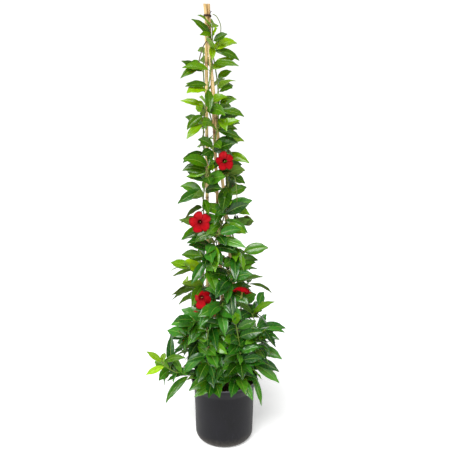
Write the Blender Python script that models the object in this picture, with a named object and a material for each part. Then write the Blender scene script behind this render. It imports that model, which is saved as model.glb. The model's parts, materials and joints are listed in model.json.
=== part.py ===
"""Potted red mandevilla on a tripod of three bamboo canes.

One rigid body: a nursery pot filled with potting soil, three canes tied at the top,
three vines wound round them, low shoots round the pot rim, and four open blooms.
Each leafy stem is one solid, with its leaves, side shoots, buds and bloom tubes fused
to it. Metres, +Z up, the pot's underside on z = 0.
"""
import math
import random

import bmesh
import bpy
from mathutils import Vector, noise
from mathutils.bvhtree import BVHTree
from mathutils.kdtree import KDTree

# Driving sizes, metres
RIM_R = 0.1219          # pot radius over the rim, a 3 gallon nursery pot
POT_H = 0.2438          # pot height
POT_TOP_R = 0.1096      # body radius under the rim's flare
POT_LOW_R = 0.1061      # body radius above the rounded bottom edge
POT_EDGE = 0.029        # rounding of the bottom edge
WALL = 0.002            # pot wall
GAP = 0.0003            # clearance kept between pieces that touch
POT_SIDES = 28
SLIVER = 0.000002        # thinnest detail that a union may leave
SOIL_EDGE_Z = 0.214     # soil level at the pot wall
SOIL_MID_Z = 0.221      # soil level at the crown of the plant

CANE_FOOT_Z = 0.022     # lower end of the canes, near the pot floor
CANE_TOP_Z = 1.536      # top of the 5 foot canes
TIE_Z = 1.500           # height where the canes cross and are tied
CANE_R_LOW = 0.0064     # cane radius at its foot
CANE_R_TOP = 0.0049     # cane radius at its top
TIE_XY = (-0.0545, 0.0)  # middle of the bundle at the tie
GROUND_Z = 0.200        # height at which the canes' lower places are given

# Each cane: name, place at GROUND_Z, place at TIE_Z from the bundle's middle
CANES = (
    ("cane_left", (-0.058, -0.025), (-0.0029, 0.0059)),
    ("cane_right", (0.070, -0.024), (-0.0031, -0.0058)),
    ("cane_back", (0.005, 0.075), (0.0066, 0.0002)),
)

# Each bloom: name, middle of its face, way it faces, spin, radius, droop of its petals
BLOOMS = (
    ("bloom_upper", (0.002, -0.070, 1.045), (0.05, -1.00, 0.16), 0.35, 0.031, 0.05),
    ("bloom_middle", (-0.080, -0.078, 0.842), (-0.04, -1.00, 0.20), 0.10, 0.036, 0.00),
    ("bloom_low_left", (-0.078, -0.100, 0.583), (-0.28, -0.90, 0.30), 0.80, 0.036, 0.10),
    ("bloom_low_right", (0.064, -0.092, 0.612), (0.30, -0.30, 0.90), 0.20, 0.037, 0.55),
)


# Scene and materials

def clear_scene():
    for thing in list(bpy.data.objects):
        bpy.data.objects.remove(thing, do_unlink=True)


def srgb(code):
    """Linear colour from an sRGB hex code."""
    out = []
    for k in (0, 2, 4):
        c = int(code[k:k + 2], 16) / 255
        out.append(c / 12.92 if c <= 0.04045 else ((c + 0.055) / 1.055) ** 2.4)
    return out[0], out[1], out[2], 1.0


def make_material(name, code, roughness):
    mat = bpy.data.materials.new(name)
    mat.use_nodes = True
    shader = mat.node_tree.nodes["Principled BSDF"]
    shader.inputs["Base Color"].default_value = srgb(code)
    shader.inputs["Roughness"].default_value = roughness
    shader.inputs["Metallic"].default_value = 0.0
    mat.diffuse_color = srgb(code)
    return mat


# Meshes from plain lists of corners and faces

def to_object(name, solid, mat):
    verts, faces = solid
    mesh = bpy.data.meshes.new(name)
    mesh.from_pydata([tuple(v) for v in verts], [], faces)
    mesh.materials.append(mat)
    work = bmesh.new()
    work.from_mesh(mesh)
    bmesh.ops.triangulate(work, faces=work.faces[:])
    bmesh.ops.recalc_face_normals(work, faces=work.faces[:])
    work.to_mesh(mesh)
    work.free()
    obj = bpy.data.objects.new(name, mesh)
    bpy.context.scene.collection.objects.link(obj)
    return obj


def lathe(profile, sides):
    """Closed solid turned round Z from a profile whose two ends lie on the axis."""
    verts = [Vector((0, 0, profile[0][1]))]
    for radius, z in profile[1:-1]:
        for k in range(sides):
            a = 2 * math.pi * k / sides
            verts.append(Vector((radius * math.cos(a), radius * math.sin(a), z)))
    verts.append(Vector((0, 0, profile[-1][1])))
    faces = []
    rings = len(profile) - 2
    for k in range(sides):
        n = (k + 1) % sides
        faces.append((0, 1 + n, 1 + k))
        for r in range(rings - 1):
            a = 1 + r * sides
            b = a + sides
            faces.append((a + k, a + n, b + n, b + k))
        last = 1 + (rings - 1) * sides
        faces.append((last + k, last + n, len(verts) - 1))
    return verts, faces


def tube(points, radii, sides, twist=0.0):
    """Closed tube through the points, its last ring closed flat or drawn to a point."""
    verts = []
    faces = []
    tangents = []
    for i in range(len(points)):
        a = points[max(i - 1, 0)]
        b = points[min(i + 1, len(points) - 1)]
        tangents.append((b - a).normalized())
    side = tangents[0].orthogonal().normalized()
    for i, point in enumerate(points):
        side = (side - tangents[i] * side.dot(tangents[i])).normalized()
        other = tangents[i].cross(side)
        if radii[i] <= 0:
            verts.append(point.copy())
            continue
        for k in range(sides):
            a = twist + 2 * math.pi * k / sides
            verts.append(point + (side * math.cos(a) + other * math.sin(a)) * radii[i])
    pointed = radii[-1] <= 0
    rings = len(points) - (1 if pointed else 0)
    for i in range(rings - 1):
        for k in range(sides):
            n = (k + 1) % sides
            a = i * sides
            b = a + sides
            faces.append((a + k, a + n, b + n, b + k))
    faces.append(tuple(range(sides - 1, -1, -1)))
    last = (rings - 1) * sides
    if pointed:
        for k in range(sides):
            faces.append((last + k, last + (k + 1) % sides, len(verts) - 1))
    else:
        faces.append(tuple(range(last, last + sides)))
    return verts, faces


def tree_of(solid):
    verts, faces = solid
    return BVHTree.FromPolygons([tuple(v) for v in verts], faces)


def solve(target, tool_collection, operation):
    """Apply one Boolean of a collection to the target, then remove the collection."""
    mod = target.modifiers.new("join", "BOOLEAN")
    mod.operation = operation
    mod.operand_type = "COLLECTION"
    mod.collection = tool_collection
    mod.solver = "MANIFOLD"
    graph = bpy.context.evaluated_depsgraph_get()
    result = bpy.data.meshes.new_from_object(target.evaluated_get(graph))
    target.modifiers.clear()
    target.data = result
    for thing in list(tool_collection.objects):
        bpy.data.objects.remove(thing, do_unlink=True)
    bpy.data.collections.remove(tool_collection)


def group_of(solids, mat):
    tools = bpy.data.collections.new("tools")
    bpy.context.scene.collection.children.link(tools)
    for k, solid in enumerate(solids):
        obj = to_object("tool_%03d" % k, solid, mat)
        bpy.context.scene.collection.objects.unlink(obj)
        tools.objects.link(obj)
    return tools


def shells_of(work):
    """Groups of faces joined by edges, the largest area first."""
    left = set(work.faces)
    shells = []
    while left:
        shell = []
        front = [left.pop()]
        while front:
            face = front.pop()
            shell.append(face)
            for edge in face.edges:
                for near in edge.link_faces:
                    if near in left:
                        left.discard(near)
                        front.append(near)
        shells.append(shell)
    shells.sort(key=lambda shell: -sum(f.calc_area() for f in shell))
    return shells


def tidy(obj):
    """Collapse slivers, drop loose scraps and sealed hollows, keep the one large body."""
    work = bmesh.new()
    work.from_mesh(obj.data)
    bmesh.ops.triangulate(work, faces=work.faces[:])
    bmesh.ops.dissolve_degenerate(work, edges=work.edges[:], dist=SLIVER)
    bmesh.ops.triangulate(work, faces=work.faces[:])
    loose = [face for shell in shells_of(work)[1:] for face in shell]
    bmesh.ops.delete(work, geom=loose, context="FACES")
    work.to_mesh(obj.data)
    work.free()


def flaw_in(obj):
    """Place where two walls of the body touch or nearly touch, None when it is sound."""
    work = bmesh.new()
    work.from_mesh(obj.data)
    flaw = None
    for edge in work.edges:
        if len(edge.link_faces) != 2 or edge.calc_length() < SLIVER:
            flaw = edge.verts[0].co.copy()
    shells = shells_of(work)
    if len(shells) > 1:
        flaw = shells[-1][0].verts[0].co.copy()
    tree = KDTree(len(work.verts))
    for vert in work.verts:
        tree.insert(vert.co, vert.index)
    tree.balance()
    work.verts.ensure_lookup_table()
    for vert in work.verts:
        joined = {edge.other_vert(vert).index for edge in vert.link_edges}
        for spot, index, far in tree.find_range(vert.co, SLIVER):
            if index != vert.index and index not in joined:
                flaw = vert.co.copy()
    work.free()
    return flaw


# Pot: one blow-moulded shell with a rounded bottom edge, a flared rim and drain holes

def pot_profile():
    out = [(0.0, 0.0)]
    mid = POT_LOW_R - POT_EDGE
    for k in range(5):
        a = math.radians(90 - 22.5 * k)
        out.append((mid + POT_EDGE * math.cos(a), POT_EDGE * (1 - math.sin(a))))
    out.append((POT_TOP_R, 0.204))
    out.append((POT_TOP_R + 0.0016, 0.2085))
    out.append((RIM_R - 0.0016, 0.2305))
    out.append((RIM_R, 0.2345))
    out.append((RIM_R, POT_H - 0.0015))
    out.append((RIM_R - 0.0008, POT_H))
    out.append((RIM_R - WALL, POT_H))
    out.append((RIM_R - WALL, 0.2350))
    out.append((RIM_R - WALL - 0.0018, 0.2305))
    out.append((POT_TOP_R + 0.0016 - WALL, 0.2085))
    out.append((POT_TOP_R - WALL, 0.204))
    for k in range(4, -1, -1):
        a = math.radians(90 - 22.5 * k)
        r = POT_EDGE - WALL
        out.append((mid + r * math.cos(a), POT_EDGE - r * math.sin(a)))
    out.append((0.0, WALL))
    return out


def drain_holes():
    """Four drain holes through the floor near its edge."""
    cutters = []
    for k in range(4):
        a = math.radians(45 + 90 * k)
        out = Vector((math.cos(a), math.sin(a), 0))
        foot = out * 0.064
        cutters.append(tube([foot + Vector((0, 0, -0.004)), foot + Vector((0, 0, 0.0022))],
                            [0.007, 0.007], 8))
    return cutters


def build_pot(mat):
    pot = to_object("pot", lathe(pot_profile(), POT_SIDES), mat)
    solve(pot, group_of(drain_holes(), mat), "DIFFERENCE")
    tidy(pot)
    return pot


# Soil: fills the pot to just under the flare, with plain holes for canes and stems

def soil_profile():
    out = [(0.0, WALL + GAP)]
    mid = POT_LOW_R - POT_EDGE
    r = POT_EDGE - WALL - GAP
    for k in range(3):
        a = math.radians(90 - 45 * k)
        out.append((mid + r * math.cos(a), POT_EDGE - r * math.sin(a)))
    out.append((POT_TOP_R - WALL - GAP, 0.204))
    out.append((POT_TOP_R + 0.0016 - WALL - GAP, 0.2086))
    out.append((POT_TOP_R + 0.0034 - WALL - GAP, SOIL_EDGE_Z))
    out.append((0.085, 0.2175))
    out.append((0.045, 0.2195))
    out.append((0.0, SOIL_MID_Z))
    return out


def soil_solid():
    verts, faces = lathe(soil_profile(), POT_SIDES)
    for v in verts:
        if v.z > SOIL_EDGE_Z + 0.001:
            v.z += 0.0022 * noise.noise(v * 45)
    return verts, faces


def build_soil(holes, mat):
    soil = to_object("soil", soil_solid(), mat)
    solve(soil, group_of(holes, mat), "DIFFERENCE")
    tidy(soil)
    return soil


# Canes: three straight bamboo canes that cross at the tie

def cane_place(cane, z):
    low = Vector(cane[1])
    high = Vector(TIE_XY) + Vector(cane[2])
    t = (z - GROUND_Z) / (TIE_Z - GROUND_Z)
    return low.lerp(high, t)


def cane_radius(z):
    t = (z - CANE_FOOT_Z) / (CANE_TOP_Z - CANE_FOOT_Z)
    return CANE_R_LOW + (CANE_R_TOP - CANE_R_LOW) * t


def cane_joints(cane):
    """Heights of a cane's growth rings, closer together near its foot."""
    rng = random.Random("rings " + cane[0])
    z = CANE_FOOT_Z + 0.05 + 0.06 * rng.random()
    out = []
    while z < TIE_Z - 0.06:
        out.append(z)
        z += 0.17 + 0.05 * rng.random() + 0.03 * z
    return out


def cane_solid(cane):
    stations = [(CANE_FOOT_Z, 1.0)]
    for z in cane_joints(cane):
        stations += [(z - 0.003, 1.0), (z, 1.12)]
    stations.append((TIE_Z - 0.02, 1.0))
    stations.append((CANE_TOP_Z, 1.0))
    points = []
    radii = []
    for z, swell in stations:
        spot = cane_place(cane, z)
        points.append(Vector((spot.x, spot.y, z)))
        radii.append(cane_radius(z) * swell)
    return tube(points, radii, 7)


def cane_hole(cane):
    foot = cane_place(cane, CANE_FOOT_Z - GAP)
    top = cane_place(cane, 0.25)
    points = [Vector((foot.x, foot.y, CANE_FOOT_Z - GAP)), Vector((top.x, top.y, 0.25))]
    r = CANE_R_LOW * 1.16 + GAP
    return tube(points, [r, r], 8)


# Cane tie: brown wire wound three times round the bundle, its ends twisted

def build_tie(mat):
    middle = Vector(TIE_XY)
    spots = [cane_place(c, TIE_Z) - middle for c in CANES]
    ring = []
    steps = 16
    for k in range(steps):
        a = 2 * math.pi * k / steps
        way = Vector((math.cos(a), math.sin(a)))
        reach = 1.0
        for j in range(-14, 15):
            b = a + math.radians(6 * j)
            n = Vector((math.cos(b), math.sin(b)))
            support = max(s.dot(n) for s in spots) + CANE_R_TOP + 0.0006
            reach = min(reach, support / math.cos(b - a))
        ring.append((way, reach * 1.02))
    section = ((0.0, -0.0045), (0.0020, -0.0035), (0.0012, -0.0015),
               (0.0020, 0.0), (0.0012, 0.0015), (0.0020, 0.0035), (0.0, 0.0045))
    verts = []
    faces = []
    m = len(section)
    for way, reach in ring:
        for out, z in section:
            spot = middle + way * (reach + out)
            verts.append(Vector((spot.x, spot.y, TIE_Z + z)))
    for k in range(steps):
        n = (k + 1) % steps
        for j in range(m):
            i = (j + 1) % m
            faces.append((k * m + j, n * m + j, n * m + i, k * m + i))
    tie = to_object("cane_tie", (verts, faces), mat)
    ends = []
    root = Vector((middle.x + 0.0085, -0.0078, TIE_Z))
    for turn in (0.0, math.pi):
        points = [root + Vector((-0.0012, 0.0012, 0.0))]
        for k in range(1, 6):
            a = turn + 1.3 * k
            r = 0.0007
            step = Vector((0.0006, -0.0012, 0.0022)) * k
            points.append(root + step + Vector((r * math.cos(a), r * math.sin(a), 0)))
        last = Vector((0.004, -0.001, 0.001)) if turn else Vector((-0.001, -0.003, 0.004))
        points.append(points[-1] + last)
        ends.append(tube(points, [0.0009] * len(points), 4))
    solve(tie, group_of(ends, mat), "UNION")
    tidy(tie)
    return tie


# Leaves: one plan for every leaf, used for its solid and for tests against neighbours

class Leaf:
    """Midrib path and width of one leaf, from its root in the stem to its tip."""

    def __init__(self, root, start, length, width, bend, light, hook):
        self.root = root
        self.length = length
        self.width = width
        side = start.cross(Vector((0, 0, 1)))
        if side.length < 0.05:
            side = Vector((1, 0, 0))
        side.normalize()
        rise = side.cross(start).normalized()
        spot = root.copy()
        self.spots = [spot.copy()]
        self.ways = [start.copy()]
        steps = 12
        for k in range(steps):
            t = (k + 0.5) / steps
            a = -bend * t ** 1.2
            sway = hook * max(0.0, t - 0.45) ** 2
            way = start * math.cos(a) + rise * math.sin(a) + side * sway
            way.normalize()
            spot = spot + way * (length / steps)
            self.spots.append(spot.copy())
            self.ways.append(way)
        self.side = side
        mid = self.ways[7]
        flat = (side - mid * side.dot(mid)).normalized()
        self.roll = math.atan2(-light.dot(flat), light.dot(flat.cross(mid)))

    def at(self, t):
        """Place, side and upward directions at a share t of the leaf's length."""
        k = min(t, 0.9999) * (len(self.spots) - 1)
        i = int(k)
        spot = self.spots[i].lerp(self.spots[i + 1], k - i)
        way = self.ways[min(i + 1, len(self.ways) - 1)]
        side = (self.side - way * self.side.dot(way)).normalized()
        up = side.cross(way)
        c = math.cos(self.roll)
        s = math.sin(self.roll)
        return spot, side * c + up * s, up * c - side * s

    def solid(self, extra=0.0, begin=0.0):
        """Closed blade with a midrib keel below, on three-cornered sections.

        With an extra thickness it is a test solid, which begins outside the stem.
        """
        half = self.width / 2
        first = (begin, 0.0011 + (half - 0.0011) * begin / 0.42, 0.0012)
        plan = (first, (0.42, half, 0.0014), (0.76, half * 0.68, 0.0013))
        verts = []
        for t, w, deep in plan:
            spot, side, up = self.at(t)
            w += extra
            verts += [spot - side * w + up * (0.0006 + extra),
                      spot + side * w + up * (0.0006 + extra),
                      spot - up * (deep - 0.0006 + extra)]
        tip, side, up = self.at(1.0)
        verts.append(tip + (tip - self.spots[-2]).normalized() * extra)
        faces = []
        rings = len(plan)
        for r in range(rings - 1):
            a = 3 * r
            b = a + 3
            faces += [(a, a + 1, b + 1), (a, b + 1, b),
                      (a + 1, a + 2, b + 1), (a + 2, b + 2, b + 1),
                      (a + 2, a, b), (a + 2, b, b + 2)]
        last = 3 * (rings - 1)
        top = len(verts) - 1
        faces += [(last, last + 1, top), (last + 1, last + 2, top), (last + 2, last, top)]
        faces.append((2, 1, 0))
        return verts, faces


def aimed_leaf(root, tip, width, arch, rng):
    """A leaf that arches from its root to a given place for its tip."""
    chord = tip - root
    level = Vector((chord.x, chord.y, 0)).normalized()
    a = math.atan2(chord.z, Vector((chord.x, chord.y)).length) + 0.455 * arch
    start = level * math.cos(a) + Vector((0, 0, math.sin(a)))
    length = chord.length * (1 + arch * arch / 28)
    light = Vector((rng.uniform(-0.3, 0.3), -0.9, 0.5 + rng.uniform(-0.3, 0.2)))
    return Leaf(root, start, length, width, arch, light, 0.0)


# Blooms: a red five-petalled corolla, funnel and petals in one piece

def bloom_frame(bloom):
    face = Vector(bloom[2]).normalized()
    side = face.cross(Vector((0, 0, 1))).normalized()
    up = side.cross(face)
    return Vector(bloom[1]), face, side, up


THROAT_DEPTH = 0.021
TUBE_R = 0.0034


def petal_reach(turn):
    """Outline of the pinwheel as a share of the bloom's radius; turn counts petals."""
    u = turn % 1.0
    return 0.60 + 0.40 * math.sin(math.pi * min(1.0, u * 1.12) ** 1.35) ** 0.6


def corolla_solid(bloom):
    middle, face, side, up = bloom_frame(bloom)
    spin, radius, droop = bloom[3], bloom[4], bloom[5]
    marks = (0.0, 0.25, 0.55, 0.85)
    turns = [p + m for p in range(5) for m in marks]
    rings = ((TUBE_R, -THROAT_DEPTH), (0.40, -0.001), (0.74, 0.0), (1.0, 0.0))
    count = len(turns)
    top = []
    low = []
    for k, (r0, z0) in enumerate(rings):
        for turn in turns:
            a = spin + 2 * math.pi * turn / 5
            u = turn % 1.0
            if k == 0:
                r = r0
                z = z0
            else:
                r = radius * petal_reach(turn) * r0
                out = (r / radius) ** 2
                z = -0.0015 + 0.0035 * (u - 0.5) * r0 - radius * droop * out
                z += 0.0018 * math.sin(math.pi * 2 * u) * r0
            thick = 0.0011 if k == 0 else 0.0006
            way = side * math.cos(a) + up * math.sin(a)
            inner = max(r - thick, 0.0016)
            if k == 0:
                top.append(middle + way * inner + face * (z + 0.0018))
                low.append(middle + way * r + face * z)
            elif k < 3:
                top.append(middle + way * r + face * (z + thick))
                low.append(middle + way * r + face * (z - thick))
            else:
                top.append(middle + way * r + face * z)
    verts = top + low
    faces = []
    n_low = len(top)
    for k in range(3):
        for j in range(count):
            n = (j + 1) % count
            a = k * count
            b = a + count
            faces.append((a + j, b + j, b + n))
            faces.append((a + j, b + n, a + n))
            if k < 2:
                faces.append((n_low + a + j, n_low + b + n, n_low + b + j))
                faces.append((n_low + a + j, n_low + a + n, n_low + b + n))
            else:
                faces.append((n_low + a + j, b + n, b + j))
                faces.append((n_low + a + j, n_low + a + n, b + n))
    verts.append(middle - face * (THROAT_DEPTH - 0.0018))
    verts.append(middle - face * THROAT_DEPTH)
    for j in range(count):
        n = (j + 1) % count
        faces.append((len(verts) - 2, j, n))
        faces.append((len(verts) - 1, n_low + n, n_low + j))
    return verts, faces


def bloom_stalk(bloom, origin):
    """Green tube, calyx and stalk of a bloom, from the corolla back to its stem."""
    middle, face, side, up = bloom_frame(bloom)
    seat = middle - face * (THROAT_DEPTH + GAP)
    calyx = seat - face * 0.013
    bottom = seat - face * 0.018
    bend = (bottom - face * 0.012).lerp(origin, 0.35) - Vector((0, 0, 0.004))
    points = [origin, origin.lerp(bend, 0.5) - Vector((0, 0, 0.002)), bend, bottom,
              seat - face * 0.0155, calyx, seat - face * 0.008, seat]
    return tube(points, [0.0012, 0.0012, 0.0012, 0.0014, 0.0030, 0.0028, 0.0024, TUBE_R], 6)


# Stems: the three vines wound round the tripod, and every shoot's route

def tripod_middle(z):
    spots = [cane_place(c, z) for c in CANES]
    return (spots[0] + spots[1] + spots[2]) / 3


def tripod_reach(z, stem_r):
    """Radius of a stem wound round all three canes, just clear of the outermost."""
    middle = tripod_middle(z)
    far = max((cane_place(c, z) - middle).length for c in CANES)
    return (far + cane_radius(z) * 1.12 + stem_r + 0.0012) * 1.045


def vine_radius(t):
    return 0.0030 - 0.0010 * t


def vine_route(crown, phase, turns, z_top):
    """Points of a vine from its root in the soil to its tip, turning left as it climbs."""
    points = [Vector((crown[0], crown[1], 0.150)), Vector((crown[0], crown[1], 0.232))]
    z_low = 0.300
    steps = 26
    for k in range(steps + 1):
        t = k / steps
        z = z_low + (z_top - z_low) * t
        a = phase + 2 * math.pi * turns * t
        middle = tripod_middle(z)
        reach = tripod_reach(z, vine_radius(t))
        if k == 0:
            reach *= 0.72
        points.append(Vector((middle.x + reach * math.cos(a),
                              middle.y + reach * math.sin(a), z)))
    return points


def smooth_route(corners, count):
    """Even points along a curve through the corners."""
    out = []
    n = len(corners) - 1
    for k in range(count + 1):
        u = k / count * n
        i = min(int(u), n - 1)
        f = u - i
        p0 = corners[max(i - 1, 0)]
        p1 = corners[i]
        p2 = corners[i + 1]
        p3 = corners[min(i + 2, n)]
        out.append(0.5 * ((2 * p1) + (p2 - p0) * f + (2 * p0 - 5 * p1 + 4 * p2 - p3) * f * f
                          + (3 * p1 - p0 - 3 * p2 + p3) * f * f * f))
    return out


def along(points, share):
    """Point and direction at a share of a route's length."""
    spans = [(b - a).length for a, b in zip(points, points[1:])]
    left = share * sum(spans)
    for i, span in enumerate(spans):
        if left <= span or i == len(spans) - 1:
            spot = points[i].lerp(points[i + 1], min(1.0, left / span))
            return spot, (points[i + 1] - points[i]).normalized()
        left -= span


def route_length(points):
    return sum((b - a).length for a, b in zip(points, points[1:]))


class Shoot:
    """One stem of a leafy node: its route, its thickness and where its leaves go."""

    def __init__(self, points, r_low, r_top, first, spacing, size, rise):
        self.points = points
        self.radii = []
        n = len(points) - 1
        for k in range(n + 1):
            self.radii.append(r_low + (r_top - r_low) * k / n)
        self.first = first
        self.spacing = spacing
        self.size = size
        self.rise = rise

    def solid(self):
        return tube(self.points, self.radii, 4)


# Vines: crown in the soil, starting angle, turns and height of each
VINES = (
    ("vine_left", (-0.030, -0.012), math.radians(150), 1.55, 1.478),
    ("vine_front", (0.008, -0.034), math.radians(272), 1.45, 1.440),
    ("vine_right", (0.026, 0.022), math.radians(28), 1.50, 1.395),
)

# Low shoots: name, corners of the route in mm, first leaf, leaf spacing, leaf length
LOW_SHOOTS = (
    ("shoot_low_left", ((-40, -46, 150), (-42, -48, 228), (-86, -56, 272), (-128, -60, 276),
                        (-161, -62, 282), (-195, -63, 300), (-222, -62, 326)),
     0.46, 0.060, 0.100),
    ("shoot_low_right", ((42, -52, 150), (44, -54, 228), (84, -60, 290), (106, -62, 350),
                         (112, -62, 410), (110, -60, 468), (97, -56, 508)),
     0.42, 0.060, 0.100),
    ("shoot_front_left", ((-16, -68, 150), (-18, -70, 228), (-36, -96, 272),
                          (-52, -116, 336), (-58, -120, 404), (-54, -112, 470)),
     0.46, 0.046, 0.108),
    ("shoot_front_right", ((20, -70, 150), (22, -72, 228), (42, -98, 280),
                           (54, -116, 346), (52, -122, 420), (40, -116, 492)),
     0.44, 0.046, 0.108),
    ("shoot_back_left", ((-44, 40, 150), (-46, 42, 228), (-84, 78, 270), (-112, 104, 300),
                         (-128, 118, 340)), 0.46, 0.044, 0.108),
    ("shoot_back_right", ((46, 44, 150), (48, 46, 228), (86, 80, 272), (114, 104, 306),
                          (130, 114, 350)), 0.46, 0.044, 0.108),
    ("shoot_back", ((-22, 88, 150), (-23, 90, 228), (-26, 122, 270), (-24, 150, 300),
                    (-24, 166, 346)), 0.48, 0.044, 0.108),
)

# Leaves with a place of their own: share of the shoot's length where the leaf grows,
# its tip in mm, and its width in mm
AIMED = {
    "shoot_low_left": ((0.99, (-273, -80, 376), 21), (0.985, (-228, -50, 412), 19),
                       (0.98, (-163, -90, 386), 23), (0.86, (-189, -22, 420), 28),
                       (0.86, (-228, -112, 280), 33), (0.93, (-280, -62, 276), 22),
                       (0.68, (-62, -130, 388), 33), (0.70, (-196, -30, 346), 24),
                       (0.60, (-205, -125, 200), 27)),
    "shoot_low_right": ((0.99, (175, -76, 560), 20), (0.985, (30, -84, 564), 20),
                        (0.84, (216, -68, 458), 32),
                        (0.82, (192, -98, 428), 26), (0.80, (44, -118, 470), 28),
                        (0.68, (202, -96, 354), 33), (0.66, (46, -128, 402), 32),
                        (0.52, (192, -108, 312), 32), (0.50, (196, -84, 256), 31),
                        (0.44, (130, -128, 190), 20)),
    "shoot_front_left": ((0.80, (-22, -196, 372), 36),
                         (0.66, (-88, -196, 318), 36), (0.60, (-34, -200, 300), 36),
                         (0.46, (-52, -188, 256), 36), (0.44, (-122, -150, 262), 34),
                         (0.40, (-8, -180, 262), 36), (0.36, (-104, -128, 226), 32)),
    "shoot_front_right": ((0.99, (36, -168, 560), 28), (0.80, (14, -200, 420), 36),
                          (0.64, (62, -200, 330), 36), (0.60, (10, -204, 344), 36),
                          (0.46, (72, -184, 268), 36), (0.42, (98, -168, 236), 32),
                          (0.40, (34, -186, 256), 36), (0.44, (118, -140, 300), 32)),
}

# Leaves of the vines with a place of their own: height of the root, tip, width, in mm
AIMED_ON_VINES = (
    (1424, (-104, -34, 1488), 22), (1420, (19, -30, 1438), 24), (1392, (50, -10, 1361), 24),
    (1350, (48, -44, 1344), 22), (1325, (-138, -20, 1361), 23), (1345, (-140, -44, 1306), 24),
    (1284, (-125, -50, 1281), 24), (1275, (-46, -76, 1202), 27), (1215, (-145, 0, 1234), 24),
    (1302, (26, 20, 1329), 24), (1262, (28, -46, 1276), 25), (1226, (42, -20, 1240), 25),
    (1200, (67, -20, 1183), 26), (1190, (-122, -34, 1142), 25), (1160, (-122, -56, 1114), 26),
    (1180, (9, -62, 1140), 25), (1138, (54, -20, 1114), 25), (1062, (-138, -30, 1033), 26),
    (1052, (86, -10, 1028), 28), (985, (-46, -98, 973), 38), (985, (72, 4, 957), 30),
    (1000, (-121, -24, 986), 27), (940, (-156, -50, 898), 32), (940, (-6, -104, 878), 34),
    (890, (88, -20, 853), 30), (840, (80, -54, 797), 28), (800, (-146, -50, 773), 30),
    (775, (74, -80, 754), 30), (760, (-30, -118, 680), 34), (720, (30, -112, 650), 32),
    (700, (-112, -84, 625), 32), (680, (-20, -132, 600), 34), (610, (30, -140, 520), 32),
    (560, (-74, -150, 478), 34), (520, (74, -132, 440), 34),
    (500, (-112, -122, 430), 34), (470, (-30, -168, 430), 34), (430, (20, -160, 380), 34),
    (540, (4, -150, 462), 34),
    (500, (40, -150, 415), 34), 
    (460, (84, -128, 385), 34), (440, (-6, -150, 352), 34), 
    (400, (60, -140, 322), 34), (380, (-26, -150, 300), 34), 
    (360, (-96, -118, 300), 34), (350, (90, -120, 290), 34), 
    (590, (-112, -80, 540), 32), (450, (-128, -78, 400), 34), (410, (-126, -70, 340), 34),
    (630, (10, -134, 575), 32), (340, (0, -140, 262), 34),
    (390, (122, -70, 330), 32),
)

# Buds: tip in mm
BUDS = ((-31, -118, 528), (-104, -104, 536), (46, 92, 700), (-88, 70, 930))

# A leafless tip that loops by the tie: corners in mm
LOOP_SHOOT = ((-19, -20, 1411), (-10, -22, 1462), (-22, -23, 1494), (-36, -24, 1503))


def side_shoot(origin, way, length, lift):
    """Route of a side shoot that leaves the stem outward and turns up."""
    out = Vector((way.x, way.y, 0)).normalized()
    a = origin
    b = origin + out * length * 0.45 + Vector((0, 0, length * lift * 0.20))
    c = origin + out * length * 0.80 + Vector((0, 0, length * lift * 0.55))
    return smooth_route([a, b, c], 3)


def collect_shoots():
    """Every leafy node's shoots, in the order in which their leaves are placed."""
    nodes = {}
    for n, (name, crown, phase, turns, z_top) in enumerate(VINES):
        route = vine_route(crown, phase, turns, z_top)
        main = Shoot(route, 0.0030, 0.0020, 0.13, 0.062, 0.116, 0.45)
        nodes[name] = [main]
        rng = random.Random("side shoots " + name)
        for k in range(7):
            share = 0.12 + 0.064 * k + 0.012 * n
            spot, way = along(route, share)
            middle = tripod_middle(spot.z)
            out = Vector((spot.x - middle.x, spot.y - middle.y, 0)).normalized()
            turn = rng.uniform(-0.5, 0.5)
            c, s = math.cos(turn), math.sin(turn)
            out = Vector((out.x * c - out.y * s, out.x * s + out.y * c, 0))
            length = (0.120 - 0.010 * k) * rng.uniform(0.85, 1.15)
            points = side_shoot(spot, out, length, rng.uniform(0.6, 1.2))
            nodes[name].append(Shoot(points, 0.0021, 0.0017, 0.55, 0.050, 0.108, 0.12))
    for name, corners, first, spacing, size in LOW_SHOOTS:
        spots = [Vector(c) * 0.001 for c in corners]
        route = [spots[0]] + smooth_route(spots[1:], 10)
        nodes[name] = [Shoot(route, 0.0025, 0.0018, first, spacing, size, 0.35)]
    return nodes


# Placing: leaves go on in opposite pairs, each redrawn until it clears its neighbours

class Garden:
    """Test solids of everything placed so far."""

    def __init__(self):
        self.items = []

    def add(self, solid, owner="", is_leaf=False):
        self.items.append((tree_of(solid), owner, is_leaf, *reach_of(solid)))

    def add_leaf(self, leaf, owner):
        self.add(leaf.solid(0.0006), owner, True)

    def blocked(self, leaf, owner):
        """True when the drawn leaf would cross something that is already there.

        Near its root a leaf may touch the stems and leaves of its own node.
        """
        trees = {}
        low, high = reach_of(leaf.solid(0.0006))
        for other, other_owner, is_leaf, lo, hi in self.items:
            if any(low[i] > hi[i] or high[i] < lo[i] for i in range(3)):
                continue
            begin = 0.0
            if other_owner == owner:
                begin = 0.05 if is_leaf else 0.14
            if begin not in trees:
                trees[begin] = tree_of(leaf.solid(0.0006, begin))
            if trees[begin].overlap(other):
                return True
        return False


def reach_of(solid):
    """Lowest and highest corner of a solid's box."""
    verts = solid[0]
    return ([min(v[i] for v in verts) for i in range(3)],
            [max(v[i] for v in verts) for i in range(3)])


def view_guard(bloom):
    """Open space that leaves keep in front of a bloom, where the light reaches it."""
    middle, face, side, up = bloom_frame(bloom)
    way = (face + Vector((0, -2.2, 0.35))).normalized()
    reach = bloom[4]
    return tube([middle + way * 0.004, middle + way * 0.12], [reach * 0.8, reach * 0.9], 10)


def jitter(rng, most):
    """A small shift, so that no two leaves share a root exactly."""
    return Vector([rng.uniform(-most, most) for _ in range(3)])


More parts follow.
